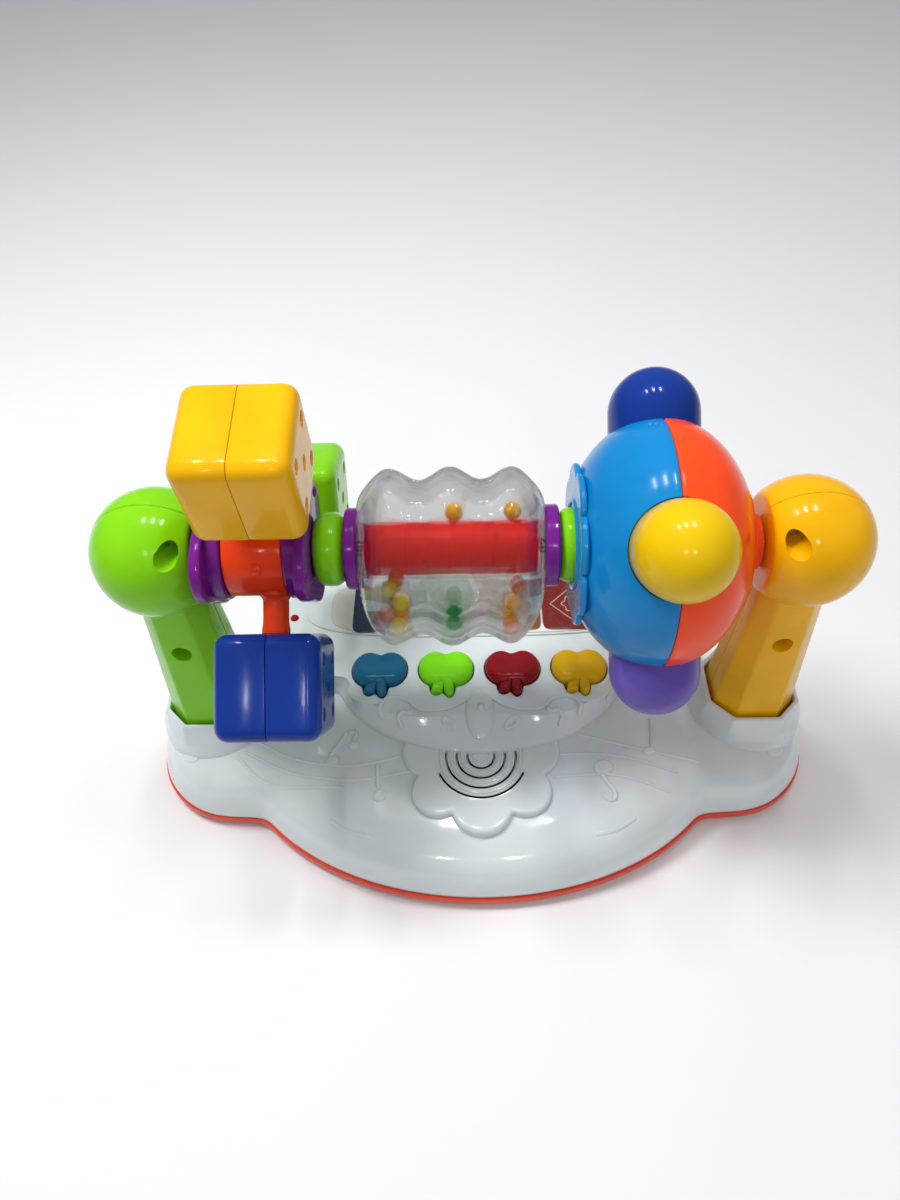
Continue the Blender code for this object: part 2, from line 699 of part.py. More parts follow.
def make_flange(name, x_span, finish):
    """A three-lobed plate with a plain collar on the hub's side."""
    count = 36
    turn = math.radians(TREFOIL_TURN)
    middle = sum(x_span) / 2
    outer_first = x_span[0] < sum(HUB_X) / 2 and x_span[1] < HUB_X[1]
    levels = [(0.0, 1.0), (0.45, 1.0), (0.55, 0.0), (1.0, 0.0)]
    if not outer_first:
        levels = [(1 - place_along, lobes) for place_along, lobes in reversed(levels)]
    rings = []
    for along, lobed in levels:
        x = x_span[0] + along * (x_span[1] - x_span[0]) - middle
        ring = []
        for i in range(count):
            angle = TURN * i / count
            lobe = TREFOIL_RADIUS + TREFOIL_LOBE * math.cos(3 * (angle - turn))
            distance = lobe * lobed + (HUB_RADIUS + 0.0012) * (1 - lobed)
            ring.append((x, -distance * math.sin(angle), distance * math.cos(angle)))
        rings.append(ring)
    flange = loft(name, rings, finish)
    flange.location = (middle, 0, AXLE_Z)
    cut(flange, cylinder(f"{name}_bore", (middle, 0, AXLE_Z), "X", (-0.02, 0.02), BORE_RADIUS, segments=16))


def make_spinner():
    middle = sum(HUB_X) / 2
    half = (HUB_X[1] - HUB_X[0]) / 2
    axis = empty("spinner_axis", middle, 0)
    hub = cylinder("spinner_hub", (0, 0, 0), "X", (-half, half), HUB_RADIUS, orange(), 24)
    hub.parent = axis
    for name, degrees in DICE.items():
        holder = empty(f"{name}_arm_axis", DIE_X, -math.radians(degrees))
        span = (HUB_RADIUS - 0.006, DIE_CENTRE - DIE_SIDE / 2 + 0.010)
        arm = cylinder(f"{name}_arm", (0, 0, 0), "Z", span, ARM_RADIUS, segments=16)
        arm.parent = holder
        join(hub, arm)
        make_die(name, holder)
    cut(hub, cylinder("hub_bore", (middle, 0, AXLE_Z), "X", (-0.02, 0.02), BORE_RADIUS, segments=16))
    make_flange("spinner_flange_left", (HUB_X[0] - GAP - FLANGE_LENGTH, HUB_X[0] - GAP), purple())
    make_flange("spinner_flange_right", (HUB_X[1] + GAP, HUB_X[1] + GAP + FLANGE_LENGTH), purple())


def make_die(name, holder):
    """Two hollow halves that meet on the arm's plane and clamp its end."""
    finish = {"yellow": yellow, "green": lime, "blue": navy}[name]()
    half_side = DIE_SIDE / 2
    low = DIE_CENTRE - half_side
    span = (low - 0.01, low + 0.02)
    bore = cylinder(f"{name}_die_bore", (0, 0, 0), "Z", span, ARM_RADIUS + GAP, segments=16)
    bore.parent = holder
    for half, side in (("left", -1), ("right", 1)):
        bm = bmesh.new()
        bmesh.ops.create_cube(bm, size=DIE_SIDE)
        bmesh.ops.bevel(bm, geom=bm.edges[:], offset=DIE_ROUND, segments=2, profile=0.5, affect="EDGES")
        bmesh.ops.bisect_plane(
            bm,
            geom=bm.verts[:] + bm.edges[:] + bm.faces[:],
            plane_co=(side * GAP / 2, 0, 0),
            plane_no=(-side, 0, 0),
            clear_outer=True,
        )
        bmesh.ops.holes_fill(bm, edges=[edge for edge in bm.edges if edge.is_boundary], sides=0)
        bmesh.ops.translate(bm, vec=(0, 0, DIE_CENTRE), verts=bm.verts)
        piece = place_bmesh(f"{name}_die_{half}", bm, finish)
        piece.parent = holder
        inner = half_side - WALL
        across = sorted((-side * 0.003, side * inner))
        hollow = box(
            f"{name}_die_{half}_hollow",
            (across[0], -inner, DIE_CENTRE - inner),
            (across[1], inner, DIE_CENTRE + inner),
        )
        hollow.parent = holder
        cut(piece, hollow, bore)


def ring_profile(radius, half, rounding):
    """A round-edged ring section with a bore for the axle."""
    slope = rounding * (1 - math.sqrt(0.5))
    side = [(BORE_RADIUS, half), (radius - rounding, half)]
    side += [(radius - slope, half - slope), (radius, half - rounding)]
    return side + [(across, -along) for across, along in reversed(side)]


def make_rings_and_caps():
    for name, span, radius, rounding, finish in (
        ("lime_ring_left", LEFT_RING_X, RING_RADIUS, 0.0055, lime()),
        ("lime_ring_right", RIGHT_RING_X, RING_RADIUS, 0.0042, lime()),
        ("tumbler_cap_left", LEFT_CAP_X, CAP_RADIUS, 0.0010, purple()),
        ("tumbler_cap_right", RIGHT_CAP_X, CAP_RADIUS, 0.0010, purple()),
    ):
        half = (span[1] - span[0]) / 2
        turned(name, ring_profile(radius, half, rounding), sum(span) / 2, finish, 20)


def tumbler_ring(depth, inset, count=36):
    """The three-humped outline in the tumbler's own plane, at a distance from its parting plane."""
    half_length = (TUMBLER_X[1] - TUMBLER_X[0]) / 2
    ring = []
    for i in range(count):
        angle = TURN * i / count
        across = math.copysign(abs(math.cos(angle)) ** 0.36, math.cos(angle))
        along = math.copysign(abs(math.sin(angle)) ** 0.36, math.sin(angle))
        x = (half_length - inset) * across
        tall = TUMBLER_UP if along > 0 else TUMBLER_DOWN
        tall += TUMBLER_HUMP * math.cos(TURN * x / TUMBLER_PITCH) - inset
        ring.append((x, depth, tall * along))
    return ring


def make_tumbler():
    middle = sum(TUMBLER_X) / 2
    axis = empty("tumbler_axis", middle, TUMBLER_TILT)
    wall = TUMBLER_WALL
    depth = TUMBLER_HALF_DEPTH
    bore = cylinder("tumbler_bore", (0, 0, 0), "X", (-0.1, 0.1), BORE_RADIUS, segments=16)
    bore.parent = axis
    for name, side in (("tumbler_shell_child_side", 1), ("tumbler_shell_speaker_side", -1)):
        outer = [(GAP / 2, 0.0), (0.0120, 0.0012), (0.0172, 0.0045), (depth, 0.0100)]
        inner = [(-0.001, wall), (0.0125, 0.0020 + wall), (depth - wall, 0.0100 + wall)]
        shell = loft(name, [tumbler_ring(side * y, inset) for y, inset in outer], clear_plastic())
        shell.parent = axis
        hollow = loft(f"{name}_hollow", [tumbler_ring(side * y, inset) for y, inset in inner])
        hollow.parent = axis
        cut(shell, hollow, bore)
    half = (TUMBLER_X[1] - TUMBLER_X[0]) / 2 - wall - 0.0024
    thickness = 0.0018
    inner = TUBE_RADIUS - thickness
    tube = [(TUBE_RADIUS, -half), (TUBE_RADIUS, half), (inner, half), (inner, -half)]
    turned("tumbler_tube", tube, middle, material("red_plastic", (0.90, 0.01, 0.0)), 24)
    for name, spots in BEADS.items():
        make_beads(name, spots, axis, middle)


def make_beads(name, spots, axis, middle):
    amber = material("amber_bead", (0.80, 0.30, 0.0), 0.15)
    beads = []
    for index, (x, z) in enumerate(spots):
        first = index == 0
        label = f"tumbler_beads_{name}" if first else f"bead_{name}_{index}"
        bead = ball(label, (x - middle, 0, z), BEAD_RADIUS, amber if first else None, 8)
        bead.parent = axis
        beads.append(bead)
    join(beads[0], *beads[1:])


def ball_profile():
    """Half of the ball's section, from the seam at 0 to its cut end, and back along the hub tube."""
    widest = math.asin(BALL_CUT / BALL_HALF_LENGTH)
    outer = [(BALL_RADIUS, GAP / 2)]
    for i in range(1, 5):
        angle = widest * i / 4
        outer.append((BALL_RADIUS * math.cos(angle), BALL_HALF_LENGTH * math.sin(angle)))
    inner = [(BALL_RADIUS - WALL, GAP / 2)]
    for i in range(1, 3):
        angle = widest * i / 3
        inner.append(((BALL_RADIUS - 2 * WALL) * math.cos(angle), BALL_HALF_LENGTH * math.sin(angle)))
    inner.append((BALL_CUT_RADIUS - WALL, BALL_CUT - WALL))
    tube = [(BORE_RADIUS, BALL_CUT), (BORE_RADIUS, GAP / 2), (0.0075, GAP / 2), (0.0075, BALL_CUT - WALL)]
    return outer + tube + list(reversed(inner))


def petal_disc(name, x_span, radius, petal):
    points = 4 * PETAL_COUNT
    rings = []
    for x in x_span:
        ring = []
        for i in range(points):
            angle = TURN * i / points
            distance = radius - petal + petal * abs(math.cos(angle * PETAL_COUNT / 2)) ** 0.6
            ring.append((x, -distance * math.sin(angle), AXLE_Z + distance * math.cos(angle)))
        rings.append(ring)
    return loft(name, rings)


def make_ball():
    profile = ball_profile()
    mirrored = [(radius, -along) for radius, along in profile]
    right = turned("ball_shell_orange", profile, BALL_X, material("ball_orange", (0.90, 0.08, 0.01)), 24)
    left = turned("ball_shell_blue", mirrored, BALL_X, material("ball_blue", (0.0, 0.20, 0.50)), 24)
    low = BALL_X - BALL_CUT
    high = BALL_X + BALL_CUT
    blue_petals = petal_disc("blue_petals", (low - 0.0005, low + BALL_FLANGE), *BLUE_PETALS)
    orange_petals = petal_disc("orange_petals", (high - BALL_FLANGE, high + BALL_FLANGE), *ORANGE_PETALS)
    bore = cylinder("ball_bore", (BALL_X, 0, AXLE_Z), "X", (-0.2, 0.2), BORE_RADIUS, segments=12)
    ring_seat = (RIGHT_RING_X[0] - 0.01, RIGHT_RING_X[1] + 0.0005)
    blue_seat = cylinder("blue_seat", (0, 0, AXLE_Z), "X", ring_seat, RING_RADIUS + 0.0015, segments=20)
    seat_wall = (RIGHT_RING_X[1] - 0.001, RIGHT_RING_X[1] + WALL)
    join(left, blue_petals, cylinder("seat_wall", (0, 0, AXLE_Z), "X", seat_wall, 0.0215, segments=20))
    cut(left, blue_seat, bore)
    collar_span = (high + 0.002, COLLAR_END)
    collar = cylinder("orange_collar", (0, 0, AXLE_Z), "X", collar_span, COLLAR_RADIUS, segments=16)
    join(right, orange_petals, collar)
    cut(right, bore)
    for name, degrees in KNOBS.items():
        holder = empty(f"{name}_knob_axis", BALL_X, -math.radians(degrees))
        seat = cylinder(f"{name}_knob_seat", (0, 0, 0), "Z", (0.040, 0.080), KNOB_RADIUS + GAP, segments=16)
        seat.parent = holder
        cut(left, seat)
        cut(right, seat)
        make_knob(name, holder)


def make_knob(name, holder):
    """A round-topped plug, which stands in a hole on the ball's seam."""
    colours = {
        "navy": (0.0, 0.03, 0.26),
        "yellow": (0.72, 0.48, 0.0),
        "lavender": (0.12, 0.07, 0.40),
        "lime": (0.20, 0.60, 0.01),
    }
    bm = bmesh.new()
    bmesh.ops.create_uvsphere(bm, u_segments=16, v_segments=8, radius=KNOB_RADIUS)
    bmesh.ops.bisect_plane(
        bm,
        geom=bm.verts[:] + bm.edges[:] + bm.faces[:],
        plane_co=(0, 0, 0),
        plane_no=(0, 0, -1),
        clear_outer=True,
    )
    rim = [edge for edge in bm.edges if edge.is_boundary]
    skirt = bmesh.ops.extrude_edge_only(bm, edges=rim)
    moved = [item for item in skirt["geom"] if isinstance(item, bmesh.types.BMVert)]
    bmesh.ops.translate(bm, vec=(0, 0, KNOB_SEAT - 0.006 - KNOB_CENTRE), verts=moved)
    bmesh.ops.holes_fill(bm, edges=[edge for edge in bm.edges if edge.is_boundary], sides=0)
    bmesh.ops.translate(bm, vec=(0, 0, KNOB_CENTRE), verts=bm.verts)
    knob = place_bmesh(f"ball_knob_{name}", bm, material(f"knob_{name}", colours[name], 0.15))
    knob.parent = holder


def main():
    clear_scene()
    make_upper_shell()
    make_lower_plate()
    make_door()
    make_feet()
    make_batteries()
    make_electronics()
    make_label()
    make_buttons()
    make_power_switch()
    make_post("lime_post", -1, lime())
    make_post("yellow_post", 1, yellow())
    make_axle()
    make_spinner()
    make_rings_and_caps()
    make_tumbler()
    make_ball()


main()
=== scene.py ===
"""Looks of the musical activity console: fine surfaces, materials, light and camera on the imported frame.

Metres, +Z up. X runs along the axle, the child sits on the +Y side and the camera looks from the -Y side.
"""

import math

import bmesh
import bpy
import numpy as np
from mathutils import Matrix, Vector


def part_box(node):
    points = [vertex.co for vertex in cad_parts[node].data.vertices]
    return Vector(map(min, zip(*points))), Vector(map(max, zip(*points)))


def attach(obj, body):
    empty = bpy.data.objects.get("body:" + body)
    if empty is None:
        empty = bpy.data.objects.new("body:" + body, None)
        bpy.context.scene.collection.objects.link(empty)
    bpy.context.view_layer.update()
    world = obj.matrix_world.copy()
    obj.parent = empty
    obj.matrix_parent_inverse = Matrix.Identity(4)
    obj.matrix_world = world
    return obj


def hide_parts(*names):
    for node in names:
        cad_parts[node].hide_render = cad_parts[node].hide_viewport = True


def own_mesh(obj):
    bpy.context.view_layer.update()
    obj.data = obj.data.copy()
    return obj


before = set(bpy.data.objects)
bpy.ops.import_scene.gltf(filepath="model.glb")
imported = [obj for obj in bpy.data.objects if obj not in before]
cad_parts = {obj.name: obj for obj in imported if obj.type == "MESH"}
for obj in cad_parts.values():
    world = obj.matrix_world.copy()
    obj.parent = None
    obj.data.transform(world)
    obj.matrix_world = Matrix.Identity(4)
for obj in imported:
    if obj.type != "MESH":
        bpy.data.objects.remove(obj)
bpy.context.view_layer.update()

TURN = 2 * math.pi
AXLE_Z = 0.158

# Camera: the lens in mm on a 36 mm sensor, and the angles in degrees.
LENS = 26.65
CAMERA_PLACE = (-0.00406, -0.26719, 0.43669)
CAMERA_DOWN = 49.61
CAMERA_YAW = 2.03
CAMERA_ROLL = -2.48

# Lobes of an outline: (centre x, centre y, radius x, radius y).
BASE_LOBES = [
    (0, 0, 0.136, 0.097),
    (-0.131, -0.008, 0.044, 0.044),
    (0.131, -0.008, 0.044, 0.044),
    (-0.088, 0.042, 0.040, 0.040),
    (0.088, 0.042, 0.040, 0.040),
    (0, 0.053, 0.044, 0.044),
]
PANEL_CENTRE = (0, 0.030)
PANEL_LOBES = [
    (0, 0.025, 0.080, 0.058),
    (0, 0.051, 0.113, 0.037),
    (-0.086, 0.043, 0.0345, 0.0345),
    (0.086, 0.043, 0.0345, 0.0345),
    (0, 0.050, 0.040, 0.040),
]
BEZEL_LOBES = [
    (0, -0.038, 0.030, 0.030),
    (-0.024, -0.030, 0.0165, 0.0165),
    (0.024, -0.030, 0.0165, 0.0165),
    (-0.0215, -0.053, 0.0135, 0.0135),
    (0.0215, -0.053, 0.0135, 0.0135),
    (0, -0.0605, 0.0155, 0.0155),
]
GRILLE_CENTRE = (0, -0.0342)
GRILLE_RADII = (0.0068, 0.0123, 0.0178, 0.0232)
BEZEL_TOP = 0.0392
# The upper shell's side and top, as (inset from the outline, height).
SHELL_PROFILE = [
    (0.0030, 0.0083),
    (0.0013, 0.0084),
    (0.0012, 0.0110),
    (0.0020, 0.0160),
    (0.0045, 0.0240),
    (0.0105, 0.0300),
    (0.0200, 0.0335),
    (0.0360, 0.0355),
    (0.0550, 0.0365),
]
SHELL_POINTS = 960
DOOR_GAP = 0.0003
# The panel's foot ends in a small round, then a slope runs up to the flat below the plateau.
FOOT_INSET = 0.0013
FOOT_TOP = 0.0409
SKIRT_TOP = 0.0485
BUTTON_FLOOR = 0.0416
PLATEAU_TOP = 0.0500
LABEL_CENTRE = (0, 0.056)
POST_X = 0.140
HEAD_RADIUS = 0.0285
CHAMFER_REACH = 1.075
HEAD_FACE_X = 0.1205
APPLES = {"teal": -0.05325, "lime": -0.01775, "red": 0.01775, "yellow": 0.05325}
APPLE_Y = 0.0115
BALL_X = 0.0760
DIE_X = -0.0885


# --- materials -------------------------------------------------------------------------------------------


class Tree:
    """The nodes of a material or world, with the few that several looks share."""

    def __init__(self, owner):
        owner.use_nodes = True
        self.nodes, self.links = owner.node_tree.nodes, owner.node_tree.links
        self.place = self.nodes.new("ShaderNodeTexCoord")

    def noise(self, scale, detail):
        made = self.nodes.new("ShaderNodeTexNoise")
        made.inputs["Scale"].default_value = scale
        made.inputs["Detail"].default_value = detail
        self.links.new(self.place.outputs["Object"], made.inputs["Vector"])
        return made.outputs["Fac"]

    def spread(self, source, low, high, start=0.3, end=0.7):
        made = self.nodes.new("ShaderNodeMapRange")
        made.inputs["From Min"].default_value = start
        made.inputs["From Max"].default_value = end
        made.inputs["To Min"].default_value = low
        made.inputs["To Max"].default_value = high
        self.links.new(source, made.inputs["Value"])
        return made.outputs["Result"]

    def mix(self, factor, low, high):
        made = self.nodes.new("ShaderNodeMix")
        made.data_type = "RGBA"
        made.inputs["A"].default_value = (*low, 1)
        made.inputs["B"].default_value = (*high, 1)
        self.links.new(factor, made.inputs["Factor"])
        return made.outputs["Result"]

    def bump(self, height, strength, distance, under=None):
        made = self.nodes.new("ShaderNodeBump")
        made.inputs["Strength"].default_value = strength
        made.inputs["Distance"].default_value = distance
        self.links.new(height, made.inputs["Height"])
        if under:
            self.links.new(under, made.inputs["Normal"])
        return made.outputs["Normal"]


def material(name, settings):
    """A new material, its node tree and its shader's sockets, with the uniform ones set."""
    made = bpy.data.materials.new(name)
    tree = Tree(made)
    sockets = tree.nodes["Principled BSDF"].inputs
    for socket, value in settings.items():
        sockets[socket].default_value = value
    return made, tree, sockets


def plastic(name, colour, rough=(0.10, 0.20), shade=0.90, wave=0.10, coat=0.08, scatter=0.0, gloss=0.2):
    """Moulded plastic: faint flow in its colour, uneven gloss, a slightly wavy skin and a few fine scuffs."""
    settings = {"Coat Weight": coat, "Coat Roughness": 0.05, "Specular IOR Level": gloss, "IOR": 1.5}
    if scatter:
        settings["Subsurface Weight"] = scatter
        settings["Subsurface Radius"] = (0.004, 0.003, 0.002)
        settings["Subsurface Scale"] = 0.5
    made, tree, sockets = material(name, settings)
    deep, light = [c * shade for c in colour], [min(1, c * 1.04 + 0.002) for c in colour]
    flow = tree.spread(tree.noise(38, 3), 0, 1)
    tree.links.new(tree.mix(flow, deep, light), sockets["Base Color"])
    scuff = tree.nodes.new("ShaderNodeTexWave")
    scuff.wave_type = "BANDS"
    scuff.bands_direction = "DIAGONAL"
    scuff.inputs["Scale"].default_value = 90
    scuff.inputs["Distortion"].default_value = 22
    scuff.inputs["Detail"].default_value = 3
    tree.links.new(tree.place.outputs["Object"], scuff.inputs["Vector"])
    total = tree.nodes.new("ShaderNodeMath")
    total.operation = "ADD"
    tree.links.new(tree.spread(tree.noise(210, 4), *rough), total.inputs[0])
    tree.links.new(tree.spread(scuff.outputs["Fac"], 0, 0.07, 0.93, 1.0), total.inputs[1])
    tree.links.new(total.outputs["Value"], sockets["Roughness"])
    soft = tree.bump(tree.noise(75, 1), wave, 0.0006)
    tree.links.new(tree.bump(tree.noise(1500, 2), 0.02, 0.0001, soft), sockets["Normal"])
    return made


def clear_plastic(name):
    made, tree, sockets = material(name, {"Transmission Weight": 1.0, "IOR": 1.49, "Alpha": 0.7})
    flow = tree.noise(60, 2)
    tree.links.new(tree.spread(flow, 0.0, 0.02), sockets["Roughness"])
    tree.links.new(tree.mix(flow, (0.66, 0.67, 0.67), (0.76, 0.77, 0.77)), sockets["Base Color"])
    ribs = tree.nodes.new("ShaderNodeTexWave")
    ribs.bands_direction = "X"
    ribs.inputs["Scale"].default_value = 55
    ribs.inputs["Distortion"].default_value = 1.2
    tree.links.new(tree.place.outputs["Object"], ribs.inputs["Vector"])
    tree.links.new(tree.bump(ribs.outputs["Fac"], 0.12, 0.0005), sockets["Normal"])
    return made


def plain(name, colour, roughness, metallic=0.0, scale=400, bump=0.1, shade=0.8):
    """Rubber, metal, card and the like: mottled colour and roughness over a fine grain."""
    made, tree, sockets = material(name, {"Metallic": metallic})
    mottle = tree.noise(scale / 3, 3)
    deep = [c * shade for c in colour]
    tree.links.new(tree.mix(tree.spread(mottle, 0, 1), deep, colour), sockets["Base Color"])
    high = min(1, roughness * 1.3)
    tree.links.new(tree.spread(mottle, roughness * 0.8, high), sockets["Roughness"])
    tree.links.new(tree.bump(tree.noise(scale * 4, 2), bump, 0.0002), sockets["Normal"])
    return made


WHITE = plastic("white_gloss", (0.68, 0.73, 0.75), (0.08, 0.16), 0.95, 0.14, 0.3, 0.04, 0.5)
ORANGE_RED = plastic("orange_red_gloss", (0.78, 0.07, 0.03))
LIME = plastic("lime_gloss", (0.21, 0.60, 0.004), scatter=0.05)
YELLOW = plastic("yellow_gloss", (0.84, 0.43, 0.0), scatter=0.03)
NAVY = plastic("navy_gloss", (0.003, 0.030, 0.24))
ORANGE = plastic("orange_gloss", (0.90, 0.055, 0.006), scatter=0.05)
PURPLE = plastic("purple_gloss", (0.17, 0.010, 0.24))
RED = plastic("red_gloss", (1.0, 0.010, 0.0), (0.25, 0.4), wave=0.15)
BALL_BLUE = plastic("ball_blue_gloss", (0.003, 0.21, 0.53), scatter=0.04)
BALL_ORANGE = plastic("ball_orange_gloss", (0.95, 0.072, 0.008), scatter=0.05)
KNOB_YELLOW = plastic("knob_yellow_gloss", (0.76, 0.48, 0.0), scatter=0.03)
LAVENDER = plastic("lavender_gloss", (0.125, 0.075, 0.40))
APPLE_COLOURS = {
    "teal": plastic("teal_gloss", (0.010, 0.13, 0.25)),
    "lime": plastic("button_lime_gloss", (0.20, 0.72, 0.006)),
    "red": plastic("dark_red_gloss", (0.26, 0.004, 0.008)),
    "yellow": plastic("button_yellow_gloss", (0.70, 0.40, 0.003)),
}
BEAD_COLOURS = {
    "amber": plastic("amber_bead_gloss", (0.95, 0.48, 0.01), (0.05, 0.12), scatter=0.3),
    "orange": plastic("orange_bead_gloss", (1.0, 0.20, 0.005), (0.05, 0.12), scatter=0.3),
    "lemon": plastic("lemon_bead_gloss", (0.95, 0.85, 0.01), (0.05, 0.12), scatter=0.3),
    "green": plastic("green_bead_gloss", (0.005, 0.42, 0.07), (0.05, 0.12), scatter=0.2),
}
CLEAR = clear_plastic("clear_gloss")
# The black in the grille's slots: painted shade inside the openings, with the dark speaker that lies behind them.
SLOT_SHADE_AND_DRIVER = plain("grille_slot_shade_and_driver", (0.008, 0.008, 0.008), 0.8)
LENS_RED = plastic("red_lens_gloss", (0.30, 0.004, 0.008), (0.05, 0.1))
STEEL = plain("plated_steel", (0.62, 0.62, 0.64), 0.25, 1.0, 900, 0.05)
RUBBER = plain("black_rubber", (0.03, 0.03, 0.03), 0.8, 0.0, 600, 0.3)
GREY_RUBBER = plain("grey_rubber", (0.33, 0.33, 0.33), 0.7, 0.0, 600, 0.2)
BOARD = plain("board_green", (0.01, 0.16, 0.06), 0.4)
JACKET = plain("battery_jacket_print", (0.05, 0.05, 0.06), 0.35, 0.3)
DARK = plain("dark_plastic", (0.03, 0.03, 0.03), 0.45)
PRINTS = {
    "navy": plain("print_navy", (0.012, 0.020, 0.075), 0.25, 0.0, 700, 0.04),
    "green": plain("print_green", (0.030, 0.200, 0.040), 0.25, 0.0, 700, 0.04),
    "brown": plain("print_brown", (0.230, 0.090, 0.030), 0.25, 0.0, 700, 0.04),
    "maroon": plain("print_maroon", (0.180, 0.012, 0.008), 0.25, 0.0, 700, 0.04),
    "cream": plain("print_cream", (0.55, 0.42, 0.32), 0.25, 0.0, 700, 0.04, 0.9),
    "film": plain("print_film", (0.62, 0.60, 0.57), 0.2, 0.0, 700, 0.04, 0.95),
}


# --- meshes ----------------------------------------------------------------------------------------------


class Form:
    """The points and faces of one piece, put together from grids of points."""

    def __init__(self):
        self.points = []
        self.faces = []
        self.slots = []

    def add(self, rows, low_cap=True, high_cap=True, slot=0):
        rows = np.asarray(rows, dtype=float)
        count = rows.shape[1]
        first = len(self.points)
        index = np.arange(rows.shape[0] * count).reshape(rows.shape[:2]) + first
        after = np.roll(index, -1, axis=1)
        quads = np.stack([index[:-1], after[:-1], after[1:], index[1:]], axis=-1).reshape(-1, 4).tolist()
        if low_cap:
            quads.append(index[0][::-1].tolist())
        if high_cap:
            quads.append(index[-1].tolist())
        self.points.extend(rows.reshape(-1, 3).tolist())
        self.faces.extend(quads)
        self.slots.extend([slot] * len(quads))
        return self

    def mesh(self, name, finishes, sharp=38):
        mesh = bpy.data.meshes.new(name)
        mesh.from_pydata(self.points, [], self.faces)
        for finish in finishes:
            mesh.materials.append(finish)
        mesh.polygons.foreach_set("material_index", self.slots)
        tidy(mesh, sharp)
        return mesh


def tidy(mesh, sharp=38):
    bm = bmesh.new()
    bm.from_mesh(mesh)
    bmesh.ops.recalc_face_normals(bm, faces=bm.faces)
    bm.to_mesh(mesh)
    bm.free()
    mesh.shade_smooth()
    mesh.set_sharp_from_angle(angle=math.radians(sharp))


def piece(name, mesh, body, slot, *nodes):
    obj = bpy.data.objects.new(name, mesh)
    bpy.context.scene.collection.objects.link(obj)
    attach(obj, body)
    if nodes:
        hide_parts(*nodes)
    return obj


def carved(mesh, cutters):
    """The mesh after a Boolean with each cutter mesh."""
    target = bpy.data.objects.new("carving", mesh)
    bpy.context.scene.collection.objects.link(target)
    helpers = []
    for cutter in cutters:
        helper = bpy.data.objects.new("cutter", cutter)
        bpy.context.scene.collection.objects.link(helper)
        helpers.append(helper)
        modifier = target.modifiers.new("carve", "BOOLEAN")
        modifier.operation = "DIFFERENCE"
        modifier.object = helper
        modifier.solver = "EXACT"
    bpy.context.view_layer.update()
    result = bpy.data.meshes.new_from_object(target.evaluated_get(bpy.context.evaluated_depsgraph_get()))
    result.name = mesh.name
    for obj in [target, *helpers]:
        bpy.data.objects.remove(obj)
    result.shade_smooth()
    result.set_sharp_from_angle(angle=math.radians(38))
    return result


def rounded(corners, steps=5, closed=False):
    """A polyline whose corners (a, b, size) are curves that start and end size away from the corner."""
    line = []
    count = len(corners)
    for i, (a, b, size) in enumerate(corners):
        corner = np.array((a, b), dtype=float)
        if not size or (not closed and i in (0, count - 1)):
            line.append(corner)
            continue
        before = np.array(corners[i - 1][:2]) - corner
        after = np.array(corners[(i + 1) % count][:2]) - corner
        start = corner + before * min(0.5, size / np.linalg.norm(before))
        end = corner + after * min(0.5, size / np.linalg.norm(after))
        for t in np.linspace(0, 1, steps + 1):
            line.append((1 - t) ** 2 * start + 2 * t * (1 - t) * corner + t * t * end)
    return np.array(line)


def level_ring(distance, angles, z, centre=(0, 0)):
    """A ring of points about a vertical line; distance and z are numbers or arrays."""
    x, y = centre[0] + distance * np.cos(angles), centre[1] + distance * np.sin(angles)
    return np.column_stack([x, y, z + np.zeros(len(angles))])


def axle_ring(radius, angles, x):
    """A ring of points about the axle, its angles counted from +Z towards +Y."""
    y, z = radius * np.sin(angles), AXLE_Z + radius * np.cos(angles)
    return np.column_stack([x + np.zeros(len(angles)), y, z])


def around(count):
    return np.arange(count) * TURN / count


def turned(profile, count=96):
    """Rows of points round the axle, from (radius, x) pairs."""
    return [axle_ring(radius, around(count), x) for radius, x in profile]


def swung(rows, degrees, x):
    """Rows made about a local Z axis, turned about the axle: degrees count from +Z towards +Y."""
    turn = math.radians(degrees)
    rows = np.asarray(rows, dtype=float)
    y, up = rows[..., 1], rows[..., 2]
    out = rows.copy()
    out[..., 0] += x
    out[..., 1] = y * math.cos(turn) + up * math.sin(turn)
    out[..., 2] = AXLE_Z - y * math.sin(turn) + up * math.cos(turn)
    return out


def upright(profile, count=64, centre=(0, 0)):
    """Rows round a vertical axis, from (radius, height) pairs."""
    return [level_ring(radius, around(count), z, centre) for radius, z in profile]


def smooth_line(points, spacing=0.0008, closed=False):
    """A Catmull-Rom curve through the points, resampled at an even spacing."""
    points = np.asarray(points, dtype=float)
    if closed:
        padded = np.vstack([points[-1], points, points[:2]])
    else:
        padded = np.vstack([2 * points[0] - points[1], points, 2 * points[-1] - points[-2]])
    dense = []
    for i in range(len(padded) - 3):
        a, b, c, d = padded[i : i + 4]
        t = np.linspace(0, 1, 24, endpoint=False)[:, None]
        curve = 2 * b + (c - a) * t + (2 * a - 5 * b + 4 * c - d) * t**2
        dense.append(0.5 * (curve + (3 * b - a - 3 * c + d) * t**3))
    dense.append(padded[-2][None])
    dense = np.vstack(dense)
    length = np.concatenate([[0], np.cumsum(np.linalg.norm(np.diff(dense, axis=0), axis=1))])
    count = max(4, int(length[-1] / spacing))
    at = np.linspace(0, length[-1], count, endpoint=not closed)
    return np.stack([np.interp(at, length, dense[:, k]) for k in range(dense.shape[1])], axis=1)


# --- outlines and heights of the base --------------------------------------------------------------------


